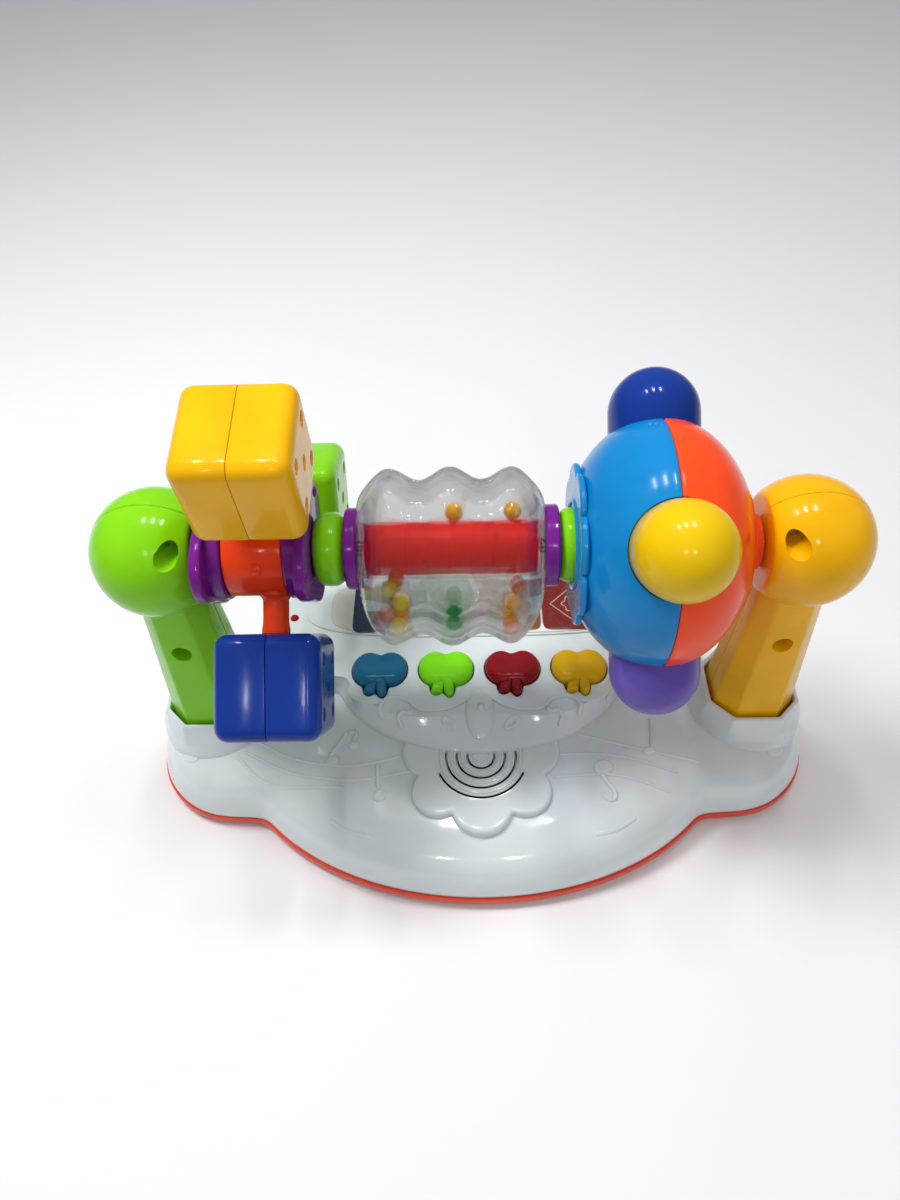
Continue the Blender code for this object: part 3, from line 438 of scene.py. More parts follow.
def reach(origin, angles, lobes):
    furthest = np.zeros_like(angles)
    for centre_x, centre_y, radius_x, radius_y in lobes:
        start_x = (origin[0] - centre_x) / radius_x
        start_y = (origin[1] - centre_y) / radius_y
        step_x = np.cos(angles) / radius_x
        step_y = np.sin(angles) / radius_y
        middle = start_x * step_x + start_y * step_y
        size = step_x**2 + step_y**2
        inside = middle**2 - size * (start_x**2 + start_y**2 - 1)
        out = (np.sqrt(np.maximum(inside, 0)) - middle) / size
        furthest = np.maximum(furthest, np.where(inside >= 0, out, 0))
    return furthest


ANGLES = around(1440)


def softened(values, width):
    span = np.arange(-3 * width, 3 * width + 1)
    kernel = np.exp(-0.5 * (span / width) ** 2)
    wrapped = np.concatenate([values[-len(span) :], values, values[: len(span)]])
    return np.convolve(wrapped, kernel / kernel.sum(), "same")[len(span) : -len(span)]


BASE_REACH = softened(reach((0, 0), ANGLES, BASE_LOBES), 7)
PANEL_REACH = softened(reach(PANEL_CENTRE, ANGLES, PANEL_LOBES), 6)
BEZEL_REACH = softened(reach(GRILLE_CENTRE, ANGLES, BEZEL_LOBES), 4)


def rim(table, angles):
    return np.interp(np.mod(angles, TURN), np.append(ANGLES, TURN), np.append(table, table[0]))


def even(profile, count, smoothing):
    """A polyline resampled to count points and smoothed, with its ends kept."""
    profile = np.asarray(profile, dtype=float)
    length = np.concatenate([[0], np.cumsum(np.linalg.norm(np.diff(profile, axis=0), axis=1))])
    at = np.linspace(0, length[-1], count)
    line = np.stack([np.interp(at, length, profile[:, 0]), np.interp(at, length, profile[:, 1])], axis=1)
    for _ in range(smoothing):
        line[1:-1] = (line[:-2] + 2 * line[1:-1] + line[2:]) / 4
    return line


SIDE = even(SHELL_PROFILE[2:], 90, 60)


def dome_height(x, y):
    inset = rim(BASE_REACH, np.arctan2(y, x)) - np.hypot(x, y)
    return np.interp(inset, SIDE[:, 0], SIDE[:, 1])


def slope_width(angles):
    return 0.005 + 0.015 * np.maximum(0, -np.sin(angles)) ** 4


SKIRT_FOOT = ((-0.0006, 0.0250), (0.0, 0.0350), (0.0004, 0.0396), (FOOT_INSET, FOOT_TOP))


def skirt_height(x, y):
    dx, dy = x - PANEL_CENTRE[0], y - PANEL_CENTRE[1]
    angles = np.arctan2(dy, dx)
    inset = rim(PANEL_REACH, angles) - np.hypot(dx, dy)
    wide = slope_width(angles)
    up = np.clip((inset - FOOT_INSET) / (wide - FOOT_INSET), 0, 1)
    wall = np.interp(inset, *zip(*SKIRT_FOOT))
    slope = FOOT_TOP + (SKIRT_TOP - FOOT_TOP) * up
    return np.where(inset > FOOT_INSET, slope, np.where(inset < SKIRT_FOOT[0][0], 0, wall))


def ground(x, y):
    """The shell's outer surface, without the button plateau."""
    return np.maximum(dome_height(x, y), skirt_height(x, y))


def relief(form, path, width, height):
    """A rib with a round back that lies on the surface along a path of (x, y) points."""
    line = smooth_line(path)
    step = np.gradient(line, axis=0)
    step /= np.linalg.norm(step, axis=1)[:, None]
    side = np.stack([-step[:, 1], step[:, 0]], axis=1)
    run = np.concatenate([[0], np.cumsum(np.linalg.norm(np.diff(line, axis=0), axis=1))])
    from_end = np.minimum(run, run[-1] - run) / (width / 2)
    taper = np.sqrt(np.clip(1 - (1 - np.clip(from_end, 0.02, 1)) ** 2, 0.0004, 1))
    rows = []
    for place, across, size in zip(line, side, taper):
        turn = np.linspace(0, math.pi, 9)
        reach_out = width / 2 * size * np.cos(turn)
        spots = place + across * reach_out[:, None]
        top = ground(spots[:, 0], spots[:, 1]) + height * size * np.sin(turn) - 0.00005
        under = ground(spots[[-1, 0], 0], spots[[-1, 0], 1]) - 0.0006
        ring = np.column_stack([spots, top])
        rows.append(np.vstack([ring, np.column_stack([spots[[-1, 0]], under])]))
    form.add(rows)


def pad(form, centre, size, height, turn=0.0, dish=0.0):
    """A low oval mound on the surface; dish sinks its middle."""
    angles = around(40)
    rows = []
    for level in (1.0, 0.97, 0.90, 0.78, 0.62, 0.42, 0.20, 0.02):
        across = size[0] * level * np.cos(angles)
        along = size[1] * level * np.sin(angles)
        x = centre[0] + across * math.cos(turn) - along * math.sin(turn)
        y = centre[1] + across * math.sin(turn) + along * math.cos(turn)
        rise = height * math.sqrt(max(0, 1 - level**2)) - dish * max(0, 1 - level / 0.8)
        rows.append(np.column_stack([x, y, ground(x, y) + (rise if level < 1 else -0.0006)]))
    form.add(rows)


def flat_solid(name, outlines, low, high, rounding, finishes):
    """A flat solid from 2D outlines, the first one outer and the others holes, with rounded edges."""
    curve = bpy.data.curves.new(name, "CURVE")
    curve.dimensions = "2D"
    curve.fill_mode = "BOTH"
    curve.extrude = (high - low) / 2 - rounding
    curve.bevel_depth = rounding
    curve.bevel_resolution = 3
    curve.offset = -rounding
    for outline in outlines:
        spline = curve.splines.new("POLY")
        spline.points.add(len(outline) - 1)
        flat = np.column_stack([outline, np.zeros(len(outline)), np.ones(len(outline))])
        spline.points.foreach_set("co", flat.ravel())
        spline.use_cyclic_u = True
    holder = bpy.data.objects.new(name, curve)
    bpy.context.scene.collection.objects.link(holder)
    bpy.context.view_layer.update()
    mesh = bpy.data.meshes.new_from_object(holder.evaluated_get(bpy.context.evaluated_depsgraph_get()))
    bpy.data.objects.remove(holder)
    mesh.transform(Matrix.Translation((0, 0, (low + high) / 2)))
    bm = bmesh.new()
    bm.from_mesh(mesh)
    bmesh.ops.remove_doubles(bm, verts=bm.verts, dist=0.00001)
    bm.to_mesh(mesh)
    bm.free()
    mesh.materials.clear()
    for finish in finishes:
        mesh.materials.append(finish)
    tidy(mesh, 30)
    return mesh


# --- the base --------------------------------------------------------------------------------------------


def apple_outline(gap, count=120):
    """A button's outline about its own middle, grown by gap."""
    lobes = [
        (-0.0056, 0.0015, 0.0090, 0.0107),
        (0.0056, 0.0015, 0.0090, 0.0107),
        (-0.0050, -0.0108, 0.0030, 0.0040),
        (0.0018, -0.0118, 0.0025, 0.0046),
    ]
    angles = around(count)
    distance = reach((0, 0), angles, [(a, b, c + gap, d + gap) for a, b, c, d in lobes])
    kernel = np.array([1, 2, 3, 2, 1]) / 9
    distance = np.convolve(np.concatenate([distance[-2:], distance, distance[:2]]), kernel, "valid")
    return np.column_stack([distance * np.cos(angles), distance * np.sin(angles)])


def near_apple(x, y, margin):
    inside = np.zeros(np.shape(x), dtype=bool)
    outline = apple_outline(margin)
    edge = np.append(np.hypot(outline[:, 0], outline[:, 1]), np.hypot(*outline[0]))
    angles = np.append(np.arange(len(outline)) * TURN / len(outline), TURN)
    for middle in APPLES.values():
        dx, dy = x - middle, y - APPLE_Y
        limit = np.interp(np.mod(np.arctan2(dy, dx), TURN), angles, edge)
        inside |= np.hypot(dx, dy) < limit
    return inside


def shell_rows():
    angles = around(SHELL_POINTS)
    edge = rim(BASE_REACH, angles)
    lip = [(0.0042, 0.0083), (0.0020, 0.0083), (0.0014, 0.0085), *SIDE.tolist()]
    rows = [level_ring(edge - inset, angles, z) for inset, z in lip]
    top_inset, top = SIDE[-1]
    rows += [level_ring((edge - top_inset) * share, angles, top) for share in np.linspace(0.95, 0.02, 24)]
    return rows


def skirt_rows():
    """The panel's foot, its slope and the flat under the plateau, which is sunk below each button."""
    angles = around(SHELL_POINTS)
    edge = rim(PANEL_REACH, angles)
    wide = slope_width(angles)
    foot = [(-0.0007, 0.018), (-0.0006, 0.025), (-0.0002, 0.0300), (0, 0.0350), (0.0002, 0.0385)]
    foot += [(0.0004, 0.0396), (0.0007, 0.0403), (0.0010, 0.0407), (FOOT_INSET, FOOT_TOP)]
    rows = [level_ring(edge - inset, angles, z, PANEL_CENTRE) for inset, z in foot]
    for share in np.linspace(0.08, 1, 16):
        inset = FOOT_INSET + (wide - FOOT_INSET) * share
        rows.append(level_ring(edge - inset, angles, FOOT_TOP + (SKIRT_TOP - FOOT_TOP) * share, PANEL_CENTRE))
    for share in np.linspace(0.985, 0.01, 76):
        row = level_ring((edge - wide) * share, angles, SKIRT_TOP, PANEL_CENTRE)
        row[near_apple(row[:, 0], row[:, 1], 0.0018), 2] = BUTTON_FLOOR
        rows.append(row)
    return rows


def mirrored(path):
    return [(-x, y) for x, y in path]


def make_shell():
    form = Form()
    form.add(shell_rows())
    form.add(skirt_rows())
    piece("base_shell", form.mesh("base_shell", [WHITE], 32), "base", "white_plastic", "base_upper_shell")


# The plateau's edge towards the speaker, from its middle peak out to the panel's side.
WAVE = [
    (0, 0.0002),
    (0.0035, -0.0038),
    (0.0100, -0.0090),
    (0.0165, -0.0120),
    (0.0250, -0.0130),
    (0.0325, -0.0122),
    (0.0365, -0.0080),
    (0.0410, -0.0052),
    (0.0475, -0.0056),
    (0.0530, -0.0080),
    (0.0610, -0.0076),
    (0.0672, -0.0040),
    (0.0706, 0.0014),
]


def plateau_outline():
    near = smooth_line(WAVE, 0.0009)[:-1]
    angles = around(720)
    far = level_ring(rim(PANEL_REACH, angles) - 0.0052, angles, 0, PANEL_CENTRE)[:, :2]
    far = far[far[:, 1] > 0.0035]
    turn = np.arctan2(far[:, 1] - PANEL_CENTRE[1], far[:, 0])
    far = far[np.argsort(np.where(turn < -TURN / 4, turn + TURN, turn))]
    left = near[::-1][:-1].copy()
    left[:, 0] *= -1
    return np.vstack([near, far, left])


def make_plateau():
    holes = [apple_outline(0.0006) + (x, APPLE_Y) for x in APPLES.values()]
    low = SKIRT_TOP + 0.00002
    mesh = flat_solid("panel_plateau", [plateau_outline(), *holes], low, PLATEAU_TOP, 0.0005, [WHITE])
    piece("panel_plateau", mesh, "base", "white_plastic", "base_upper_shell")
    platform = superellipse(LABEL_CENTRE, (0.0970, 0.0215), 3, 160)
    mesh = flat_solid("label_platform", [platform], PLATEAU_TOP - 0.0012, 0.0512, 0.0006, [WHITE])
    piece("label_platform", mesh, "base", "white_plastic", "base_upper_shell")


def superellipse(centre, size, power, count):
    angles = around(count)
    across = np.sign(np.cos(angles)) * np.abs(np.cos(angles)) ** (2 / power)
    along = np.sign(np.sin(angles)) * np.abs(np.sin(angles)) ** (2 / power)
    return np.column_stack([centre[0] + size[0] * across, centre[1] + size[1] * along])


def polygon(centre, radius, count, turn=0.0, inner=None):
    """A regular polygon, or a star when inner is the radius of its notches."""
    angles = turn + np.arange(count * 2 if inner else count) * TURN / (count * 2 if inner else count)
    sizes = np.where(np.arange(len(angles)) % 2 == 0, radius, inner) if inner else np.full(count, radius)
    return np.column_stack([centre[0] + sizes * np.cos(angles), centre[1] + sizes * np.sin(angles)])


def line_art(centre, shape, size, line=0.0007):
    """A closed line of even width in the form of a circle, star, diamond or square, and a flower for any other
    shape.
    """
    outlines = []
    for radius in (size, size - line):
        if shape == "circle":
            outlines.append(polygon(centre, radius, 40))
        elif shape == "star":
            outlines.append(polygon(centre, radius, 5, TURN / 4, radius * 0.5 - (size - radius) * 0.2))
        elif shape == "diamond":
            outlines.append(polygon(centre, radius, 4, TURN / 4))
        elif shape == "square":
            outlines.append(polygon(centre, radius, 4, TURN / 8))
        else:
            angles = around(90)
            petal = radius * (0.86 + 0.14 * np.cos(6 * angles))
            outlines.append(level_ring(petal, angles, 0, centre)[:, :2])
    return outlines


def make_label():
    film = superellipse(LABEL_CENTRE, (0.0830, 0.0200), 4, 160)
    parts = [("film", [film], 0.0512, 0.0517)]
    art = {
        "navy": [("flower", 0, 0, 0.0115), ("circle", 0, 0, 0.0042), ("circle", -0.012, 0.009, 0.0022)],
        "green": [("star", 0, 0, 0.0120), ("circle", 0.011, 0.009, 0.0024), ("circle", -0.011, 0.009, 0.0024)],
        "brown": [("circle", 0, 0, 0.0110), ("square", 0, 0, 0.0062), ("circle", 0.012, -0.010, 0.0020)],
        "maroon": [("diamond", 0, 0, 0.0125), ("flower", 0, 0, 0.0062), ("circle", 0.012, 0.009, 0.0022)],
    }
    for (colour, drawn), x in zip(art.items(), (-0.0530, -0.0178, 0.0178, 0.0530)):
        field = superellipse((x, LABEL_CENTRE[1]), (0.0171, 0.0186), 9, 96)
        parts.append((colour, [field], 0.0516, 0.05178))
        for index, (shape, dx, dy, size) in enumerate(drawn):
            outlines = line_art((x + dx, LABEL_CENTRE[1] + dy), shape, size)
            parts.append((f"cream_{colour}_{index}", outlines, 0.0517, 0.05184))
    for name, outlines, low, high in parts:
        finish = PRINTS["cream" if name.startswith("cream") else name]
        mesh = flat_solid(f"label_{name}", outlines, low, high, 0.00002, [finish])
        piece(f"label_{name}", mesh, "base", "printed_label", "picture_label")


def make_relief():
    form = Form()
    for side in (1, -1):
        flip = mirrored if side < 0 else list
        hook = [(0.0345, -0.0106), (0.0362, -0.0074), (0.0410, -0.0047), (0.0460, -0.0042)]
        hook += [(0.0505, -0.0064), (0.0524, -0.0110), (0.0508, -0.0146)]
        relief(form, flip(hook), 0.0026, 0.0019)
        curl = [(0.0345, -0.0112), (0.0365, -0.0134), (0.0404, -0.0132), (0.0424, -0.0163), (0.0405, -0.0202)]
        relief(form, flip(curl), 0.0025, 0.0018)
        scroll = [(0.0672, -0.0040), (0.0706, 0.0012), (0.0700, 0.0038), (0.0662, 0.0030), (0.0625, -0.0022)]
        relief(form, flip(scroll), 0.0023, 0.0017)
        pad(form, (side * 0.0162, -0.0190), (0.0048, 0.0026), 0.0014, side * 0.6, 0.0018)
        pad(form, (side * 0.152, -0.028), (0.0052, 0.0034), 0.0010, side * 0.5)
        relief(form, flip([(0.076, -0.065), (0.066, -0.071), (0.055, -0.074)]), 0.0022, 0.0007)
    pad(form, (0, -0.0128), (0.0078, 0.0150), 0.0024)
    pad(form, (0.0004, -0.0118), (0.0024, 0.0032), 0.0038)
    staves = [
        [(0.050, -0.020), (0.080, -0.029), (0.111, -0.037)],
        [(0.040, -0.032), (0.069, -0.033), (0.100, -0.042)],
        [(0.036, -0.045), (0.068, -0.044), (0.095, -0.052)],
        [(-0.127, -0.030), (-0.109, -0.045), (-0.070, -0.049)],
        [(-0.123, -0.028), (-0.098, -0.040), (-0.064, -0.045), (-0.036, -0.041)],
        [(-0.118, -0.022), (-0.096, -0.033), (-0.066, -0.037), (-0.040, -0.032)],
    ]
    for line in staves:
        relief(form, line, 0.0016, 0.0009)
    # Two single notes, a pair with a beam, and a stem at the right.
    relief(form, [(-0.0532, -0.0371), (-0.0519, -0.0506)], 0.0024, 0.0015)
    pad(form, (-0.0511, -0.0540), (0.0036, 0.0032), 0.0020, 0.2, 0.0008)
    relief(form, [(-0.0698, -0.0170), (-0.0730, -0.0236), (-0.0780, -0.0318)], 0.0024, 0.0015)
    relief(form, [(-0.0642, -0.0177), (-0.0668, -0.0230)], 0.0024, 0.0015)
    relief(form, [(-0.0700, -0.0168), (-0.0642, -0.0178)], 0.0024, 0.0011)
    pad(form, (-0.0660, -0.0252), (0.0032, 0.0025), 0.0015, 0.4)
    pad(form, (-0.0764, -0.0340), (0.0036, 0.0028), 0.0015, 0.4)
    pad(form, (0.0620, -0.0398), (0.0053, 0.0044), 0.0021, 0.2, 0.0008)
    relief(form, [(0.0605, -0.0432), (0.0632, -0.0480), (0.0665, -0.0535), (0.0655, -0.0578)], 0.0027, 0.0016)
    relief(form, [(0.0655, -0.0578), (0.0618, -0.0562), (0.0600, -0.0532)], 0.0020, 0.0012)
    relief(form, [(0.0900, -0.0110), (0.0892, -0.0200), (0.0880, -0.0290)], 0.0024, 0.0015)
    pad(form, (0.0862, -0.0308), (0.0034, 0.0026), 0.0015, 0.3)
    piece("shell_relief", form.mesh("shell_relief", [WHITE], 50), "base", "white_plastic", "base_upper_shell")


def make_bezel():
    angles = around(720)
    edge = rim(BEZEL_REACH, angles)
    from_near = np.abs(np.angle(np.exp(1j * (angles - 0.75 * TURN))))
    low_half = np.clip((from_near - 2.05) / 0.06, 0, 1)
    short = np.clip((from_near - 1.12) / 0.06, 0, 1)
    rows, slots = [], []

    def level(distance, z, slot=0):
        rows.append(level_ring(distance, angles, z, GRILLE_CENTRE))
        slots.append(slot)

    border = [(0, 0.0330), (0, 0.0370), (0.0002, 0.0380), (0.0007, 0.0387), (0.0015, 0.0391)]
    for inset, z in [*border, (0.0024, BEZEL_TOP)]:
        level(edge - inset, z)
    outer = GRILLE_RADII[-1] + 0.0012
    for share in (0.25, 0.5, 0.75, 1):
        level((edge - 0.0024) * (1 - share) + outer * share, BEZEL_TOP)
    for index in range(len(GRILLE_RADII) - 1, -1, -1):
        radius = GRILLE_RADII[index]
        window = 1 - (short if index == len(GRILLE_RADII) - 1 else low_half)
        half = 0.00050
        level(radius + half + 0.0002, BEZEL_TOP + 0.0001 * window)
        level(radius + half, BEZEL_TOP - 0.0003 * window, 1)
        level(radius + half - 0.0002, BEZEL_TOP - 0.0030 * window, 1)
        level(radius - half + 0.0002, BEZEL_TOP - 0.0030 * window, 1)
        level(radius - half, BEZEL_TOP - 0.0003 * window)
        level(radius - half - 0.0002, BEZEL_TOP + 0.0001 * window)
        inner = GRILLE_RADII[index - 1] if index else 0.0
        middle = (radius + inner) / 2
        rise = 0.0011 if index else 0.0006
        spread_out = (radius - inner) / 2 - half - 0.0004
        for share, lift in zip((0.60, 0.48, 0.34, 0, -0.34, -0.48, -0.60), (0, 0.5, 0.9, 1, 0.9, 0.5, 0)):
            if index or share > 0:
                level(middle + share * spread_out, BEZEL_TOP + rise * lift * (1 - low_half))
    level(0.0040, BEZEL_TOP)
    level(0.0003, BEZEL_TOP)
    form = Form().add(rows)
    # A face is painted black where it lies between two rows of a slot and the slot is cut at its angle: painted
    # shade inside the openings, with the dark speaker behind them.
    marks = []
    for row in range(len(rows) - 1):
        sunk = slots[row] and slots[row + 1] or (slots[row] and row)
        depth = np.minimum(rows[row][:, 2], rows[row + 1][:, 2])
        marks.extend(((depth < BEZEL_TOP - 0.0010) & bool(sunk)).astype(int).tolist())
    form.slots = marks + [0, 0]
    mesh = form.mesh("speaker_bezel", [WHITE, SLOT_SHADE_AND_DRIVER], 30)
    piece("speaker_bezel", mesh, "base", "white_plastic", "base_upper_shell")


def octagon(angles, flat, roundness):
    """A square with broad chamfers, its corners eased, blended towards a circle by roundness."""
    quarter = np.abs(np.mod(angles + TURN / 8, TURN / 4) - TURN / 8)
    side = flat / np.cos(quarter)
    chamfer = CHAMFER_REACH * flat / np.cos(TURN / 8 - quarter)
    soft = 0.0003
    eased = -soft * np.logaddexp(-side / soft, -chamfer / soft)
    return eased * (1 - roundness) + flat * roundness


def make_sockets():
    count = 256
    angles = np.arange(count) * TURN / count
    levels = [
        (0.0290, 0.0312, 1),
        (0.0330, 0.0308, 1),
        (0.0352, 0.0304, 1),
        (0.0366, 0.0296, 0.95),
        (0.0378, 0.0286, 0.88),
        (0.0392, 0.0277, 0.78),
        (0.0410, 0.0270, 0.65),
        (0.0440, 0.0259, 0.45),
        (0.0480, 0.0246, 0.2),
        (0.0512, 0.0236, 0.05),
        (0.0520, 0.0233, 0.03),
        (0.0524, 0.0229, 0.02),
        (0.0525, 0.0224, 0),
        (0.0525, 0.0219, 0),
        (0.0523, 0.0214, 0),
        (0.0519, 0.0212, 0),
        (0.0480, 0.0211, 0),
        (0.0386, 0.0211, 0),
        (0.0382, 0.0150, 0),
    ]
    for name, side in (("socket_left", -1), ("socket_right", 1)):
        centre = (side * POST_X, 0)
        form = Form().add([level_ring(octagon(angles, flat, r), angles, z, centre) for z, flat, r in levels])
        piece(name, form.mesh(name, [WHITE], 28), "base", "white_plastic", "base_upper_shell")


def solid_box(name, low, high):
    corners = [(x, y, z) for z in (low[2], high[2]) for x, y in
               ((low[0], low[1]), (high[0], low[1]), (high[0], high[1]), (low[0], high[1]))]
    return Form().add(np.array(corners).reshape(2, 4, 3)).mesh(name, [])


def make_lower_plate():
    angles = around(600)
    edge = rim(BASE_REACH, angles)
    levels = [(0.0023, 0.0016), (0.0016, 0.0018), (0.0008, 0.0024), (0.0002, 0.0032), (0, 0.0042)]
    levels += [(0, 0.0074), (0.0002, 0.0079), (0.0005, 0.0080), (0.0034, 0.0080), (0.0036, 0.0078), (0.0036, 0.0041)]
    rows = [level_ring(edge - inset, angles, z) for inset, z in levels]
    mesh = Form().add(rows).mesh("lower_plate", [ORANGE_RED], 30)
    door_low, door_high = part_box("battery_door")
    knob_low, knob_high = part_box("power_switch_slider")
    middle = (knob_low + knob_high) / 2
    below = -0.01
    left, near = (edge - DOOR_GAP for edge in door_low[:2])
    right, far = (edge + DOOR_GAP for edge in door_high[:2])
    switch_low = (middle[0] - 0.0034, middle[1] - 0.0026, below)
    switch_high = (middle[0] + 0.0094, middle[1] + 0.0026, 0.03)
    cutters = [
        solid_box("door_opening", (left, near, below), (right, far, 0.03)),
        solid_box("switch_opening", switch_low, switch_high),
    ]
    mesh = carved(mesh, cutters)
    piece("lower_plate", mesh, "base", "orange_red_plastic", "base_lower_plate")
    # The battery tray that stands on the plate, with walls and a roof.
    low = (door_low[0] - 0.0023, door_low[1] - 0.0023, 0.0036)
    tray = solid_box("battery_tray", low, (door_high[0] + 0.0023, door_high[1] + 0.0023, 0.0235))
    hollow = solid_box("tray_room", (left, 0.0142, below), (right, door_high[1] + 0.0002, 0.0220))
    seat = solid_box("tray_seat", (left, near, below), (right, far, 0.0049))
    tray.materials.append(ORANGE_RED)
    tray = carved(tray, [hollow, seat])
    piece("battery_tray", tray, "base", "orange_red_plastic", "base_lower_plate")


def make_feet():
    for name in ("foot_child_left", "foot_child_right", "foot_speaker_left", "foot_speaker_right"):
        low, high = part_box(name)
        x, y = (low[0] + high[0]) / 2, (low[1] + high[1]) / 2
        profile = [(0.0003, 0.0002), (0.0050, 0.0002), (0.0056, 0), (0.0072, 0), (0.0077, 0.0002)]
        profile += [(0.0080, 0.0006), (0.0080, 0.0013), (0.0003, 0.0013)]
        form = Form().add(upright(profile, 56, (x, y)))
        piece(f"{name}_pad", form.mesh(name, [RUBBER], 40), "base", "foot_rubber", name)


# A leaf's corners with their rounding, and the points of a stem's outline, from the middle of an apple.
LEAF = [(-0.0004, -0.0072, 0.0004), (-0.0068, -0.0094, 0.0004), (-0.0078, -0.0144, 0.0002)]
LEAF.append((-0.0018, -0.0140, 0.0006))
STEM = [(0.0000, -0.0070), (-0.0010, -0.0110), (-0.0004, -0.0142), (0.0018, -0.0160), (0.0040, -0.0142)]
STEM += [(0.0042, -0.0104), (0.0032, -0.0068)]


def make_apples():
    angles = around(160)
    leaf = rounded(LEAF, 4, True)
    stem = smooth_line(STEM, 0.0006, True)
    for name, x in APPLES.items():
        lobes = [(-0.0056, 0.0015, 0.0090, 0.0107), (0.0056, 0.0015, 0.0090, 0.0107)]
        body = reach((0, 0), angles, [*lobes, (0, -0.0010, 0.0085, 0.0080), (0, 0.0040, 0.0060, 0.0066)])
        kernel = np.array([1, 2, 3, 4, 3, 2, 1]) / 16
        body = np.convolve(np.concatenate([body[-3:], body, body[:3]]), kernel, "valid")
        rows = []
        for share, rise in [(1.0, -0.0066), (1.0, -0.0010), (0.996, 0.0)]:
            rows.append([body * share, np.full(160, 0.0512 + rise)])
        for share in (0.985, 0.96, 0.925, 0.88, 0.82, 0.74, 0.65, 0.55, 0.44, 0.33, 0.22, 0.11, 0.02):
            top = 0.0512 + 0.0044 * (1 - share**3.2) ** 0.55
            across, along = share * body * np.cos(angles), share * body * np.sin(angles)
            dish = 0.0034 * np.exp(-(across**2 / 0.0088**2 + (along - 0.0040) ** 2 / 0.0062**2))
            rows.append([body * share, top - dish])
        form = Form().add([level_ring(distance, angles, z, (x, APPLE_Y)) for distance, z in rows])
        for outline, top in ((leaf, 0.0530), (stem, 0.0536)):
            middle = outline.mean(axis=0)
            grid = []
            levels = [(1, 0.0446), (1, top - 0.0014), (0.97, top - 0.0007), (0.88, top - 0.0002)]
            for share, z in [*levels, (0.7, top), (0.4, top + 0.0003), (0.05, top + 0.0004)]:
                spot = middle + (outline - middle) * share
                grid.append(np.column_stack([x + spot[:, 0], APPLE_Y + spot[:, 1], np.full(len(spot), z)]))
            form.add(grid)
        button = form.mesh(f"apple_{name}", [APPLE_COLOURS[name]], 50)
        piece(f"apple_{name}", button, f"{name}_button", f"button_{name}", f"button_{name}")


def make_domes():
    profile = [(0.0070, 0.0376), (0.0070, 0.0384), (0.0066, 0.0389), (0.0060, 0.0395), (0.0055, 0.0415)]
    profile += [(0.0052, 0.0435), (0.0049, 0.0446), (0.0043, 0.0449), (0.0003, 0.0449)]
    for name, x in APPLES.items():
        form = Form().add(upright(profile, 48, (x, APPLE_Y)))
        mesh = form.mesh(f"dome_{name}", [GREY_RUBBER], 40)
        dome = piece(f"dome_{name}", mesh, "base", "switch_rubber", f"switch_dome_{name}")
        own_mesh(dome)


def make_lamp():
    profile = [(0.0024, 0.0450), (0.0024, 0.0500), (0.0022, 0.0506), (0.0017, 0.0511), (0.0010, 0.0514)]
    profile.append((0.0002, 0.0515))
    form = Form().add(upright(profile, 40, (-0.1035, 0.050)))
    piece("lamp", form.mesh("lamp", [LENS_RED], 40), "base", "red_lens", "indicator_led")


# --- the posts -------------------------------------------------------------------------------------------


def post_cutter(name, x, z, mouth):
    """A screw recess along Y, with a flared mouth at the surface y = mouth."""
    profile = [(0.0044, -0.0068), (0.0044, mouth + 0.0010), (0.0048, mouth - 0.0002), (0.0050, -0.05)]
    turn = around(48)
    rows = [np.column_stack([x + r * np.cos(turn), np.full(48, y), z + r * np.sin(turn)]) for r, y in profile]
    return Form().add(rows).mesh(name, [])


def make_post(name, side, finish, slot):
    x = side * POST_X
    fine = np.array([0.006, 0.012, 0.02])
    angles = np.unique(np.concatenate([np.linspace(0, TURN / 2, 97), fine, TURN / 2 - fine]))
    join = AXLE_Z - math.sqrt(HEAD_RADIUS**2 - 0.0150**2)
    heights = [0.0386, 0.0389, *np.linspace(0.045, join - 0.006, 22).tolist()]
    heights += np.linspace(join - 0.005, join + 0.006, 18).tolist()
    start = math.asin((join + 0.0075 - AXLE_Z) / HEAD_RADIUS)
    heights += [AXLE_Z + HEAD_RADIUS * math.sin(a) for a in np.linspace(start, TURN / 4 - 0.004, 64)]
    for half, facing in (("front", 1), ("rear", -1)):
        rows = []
        for z in heights:
            share = (z - 0.0385) / (0.138 - 0.0385)
            flat = 0.0205 + (0.0150 - 0.0205) * min(1, share)
            stem = octagon(angles, flat - (0.0006 if z < 0.0388 else 0), 0.02 + 0.33 * min(1, share))
            ball = math.sqrt(max(0, HEAD_RADIUS**2 - (z - AXLE_Z) ** 2))
            if z < AXLE_Z - 0.014:
                # A small fillet where the stem runs into the head.
                soft = 0.0010
                distance = soft * np.logaddexp(stem / soft, ball / soft)
            else:
                distance = np.full(len(angles), max(ball, 0.00005))
            px, py = distance * np.cos(angles), distance * np.sin(angles)
            groove = 0.00032 * np.exp(-((py / 0.00028) ** 2)) * (1 if z > 0.05 else 0)
            normal = np.stack([px, py, np.full(len(px), max(0, z - AXLE_Z))], axis=1)
            normal /= np.maximum(np.linalg.norm(normal, axis=1), 1e-9)[:, None]
            px, py, pz = px - normal[:, 0] * groove, py, z - normal[:, 2] * groove
            if z > 0.129:
                face = POST_X - HEAD_FACE_X
                px_in = -side * px
                soft = 0.0005
                px_in = face - soft * np.logaddexp(0, (face - px_in) / soft)
                px = -side * px_in
            rows.append(np.column_stack([x + px, facing * (py + 0.0001), pz]))
        mesh = Form().add(rows).mesh(f"{name}_{half}", [finish], 36)
        if half == "rear":
            cutters = [
                post_cutter("upper", x - side * 0.012, 0.1750, -0.0195),
                post_cutter("lower", x, 0.1060, -0.0168),
            ]
            mesh = carved(mesh, cutters)
        piece(f"{name}_{half}_half", mesh, "base", slot, f"{name}_{half}")


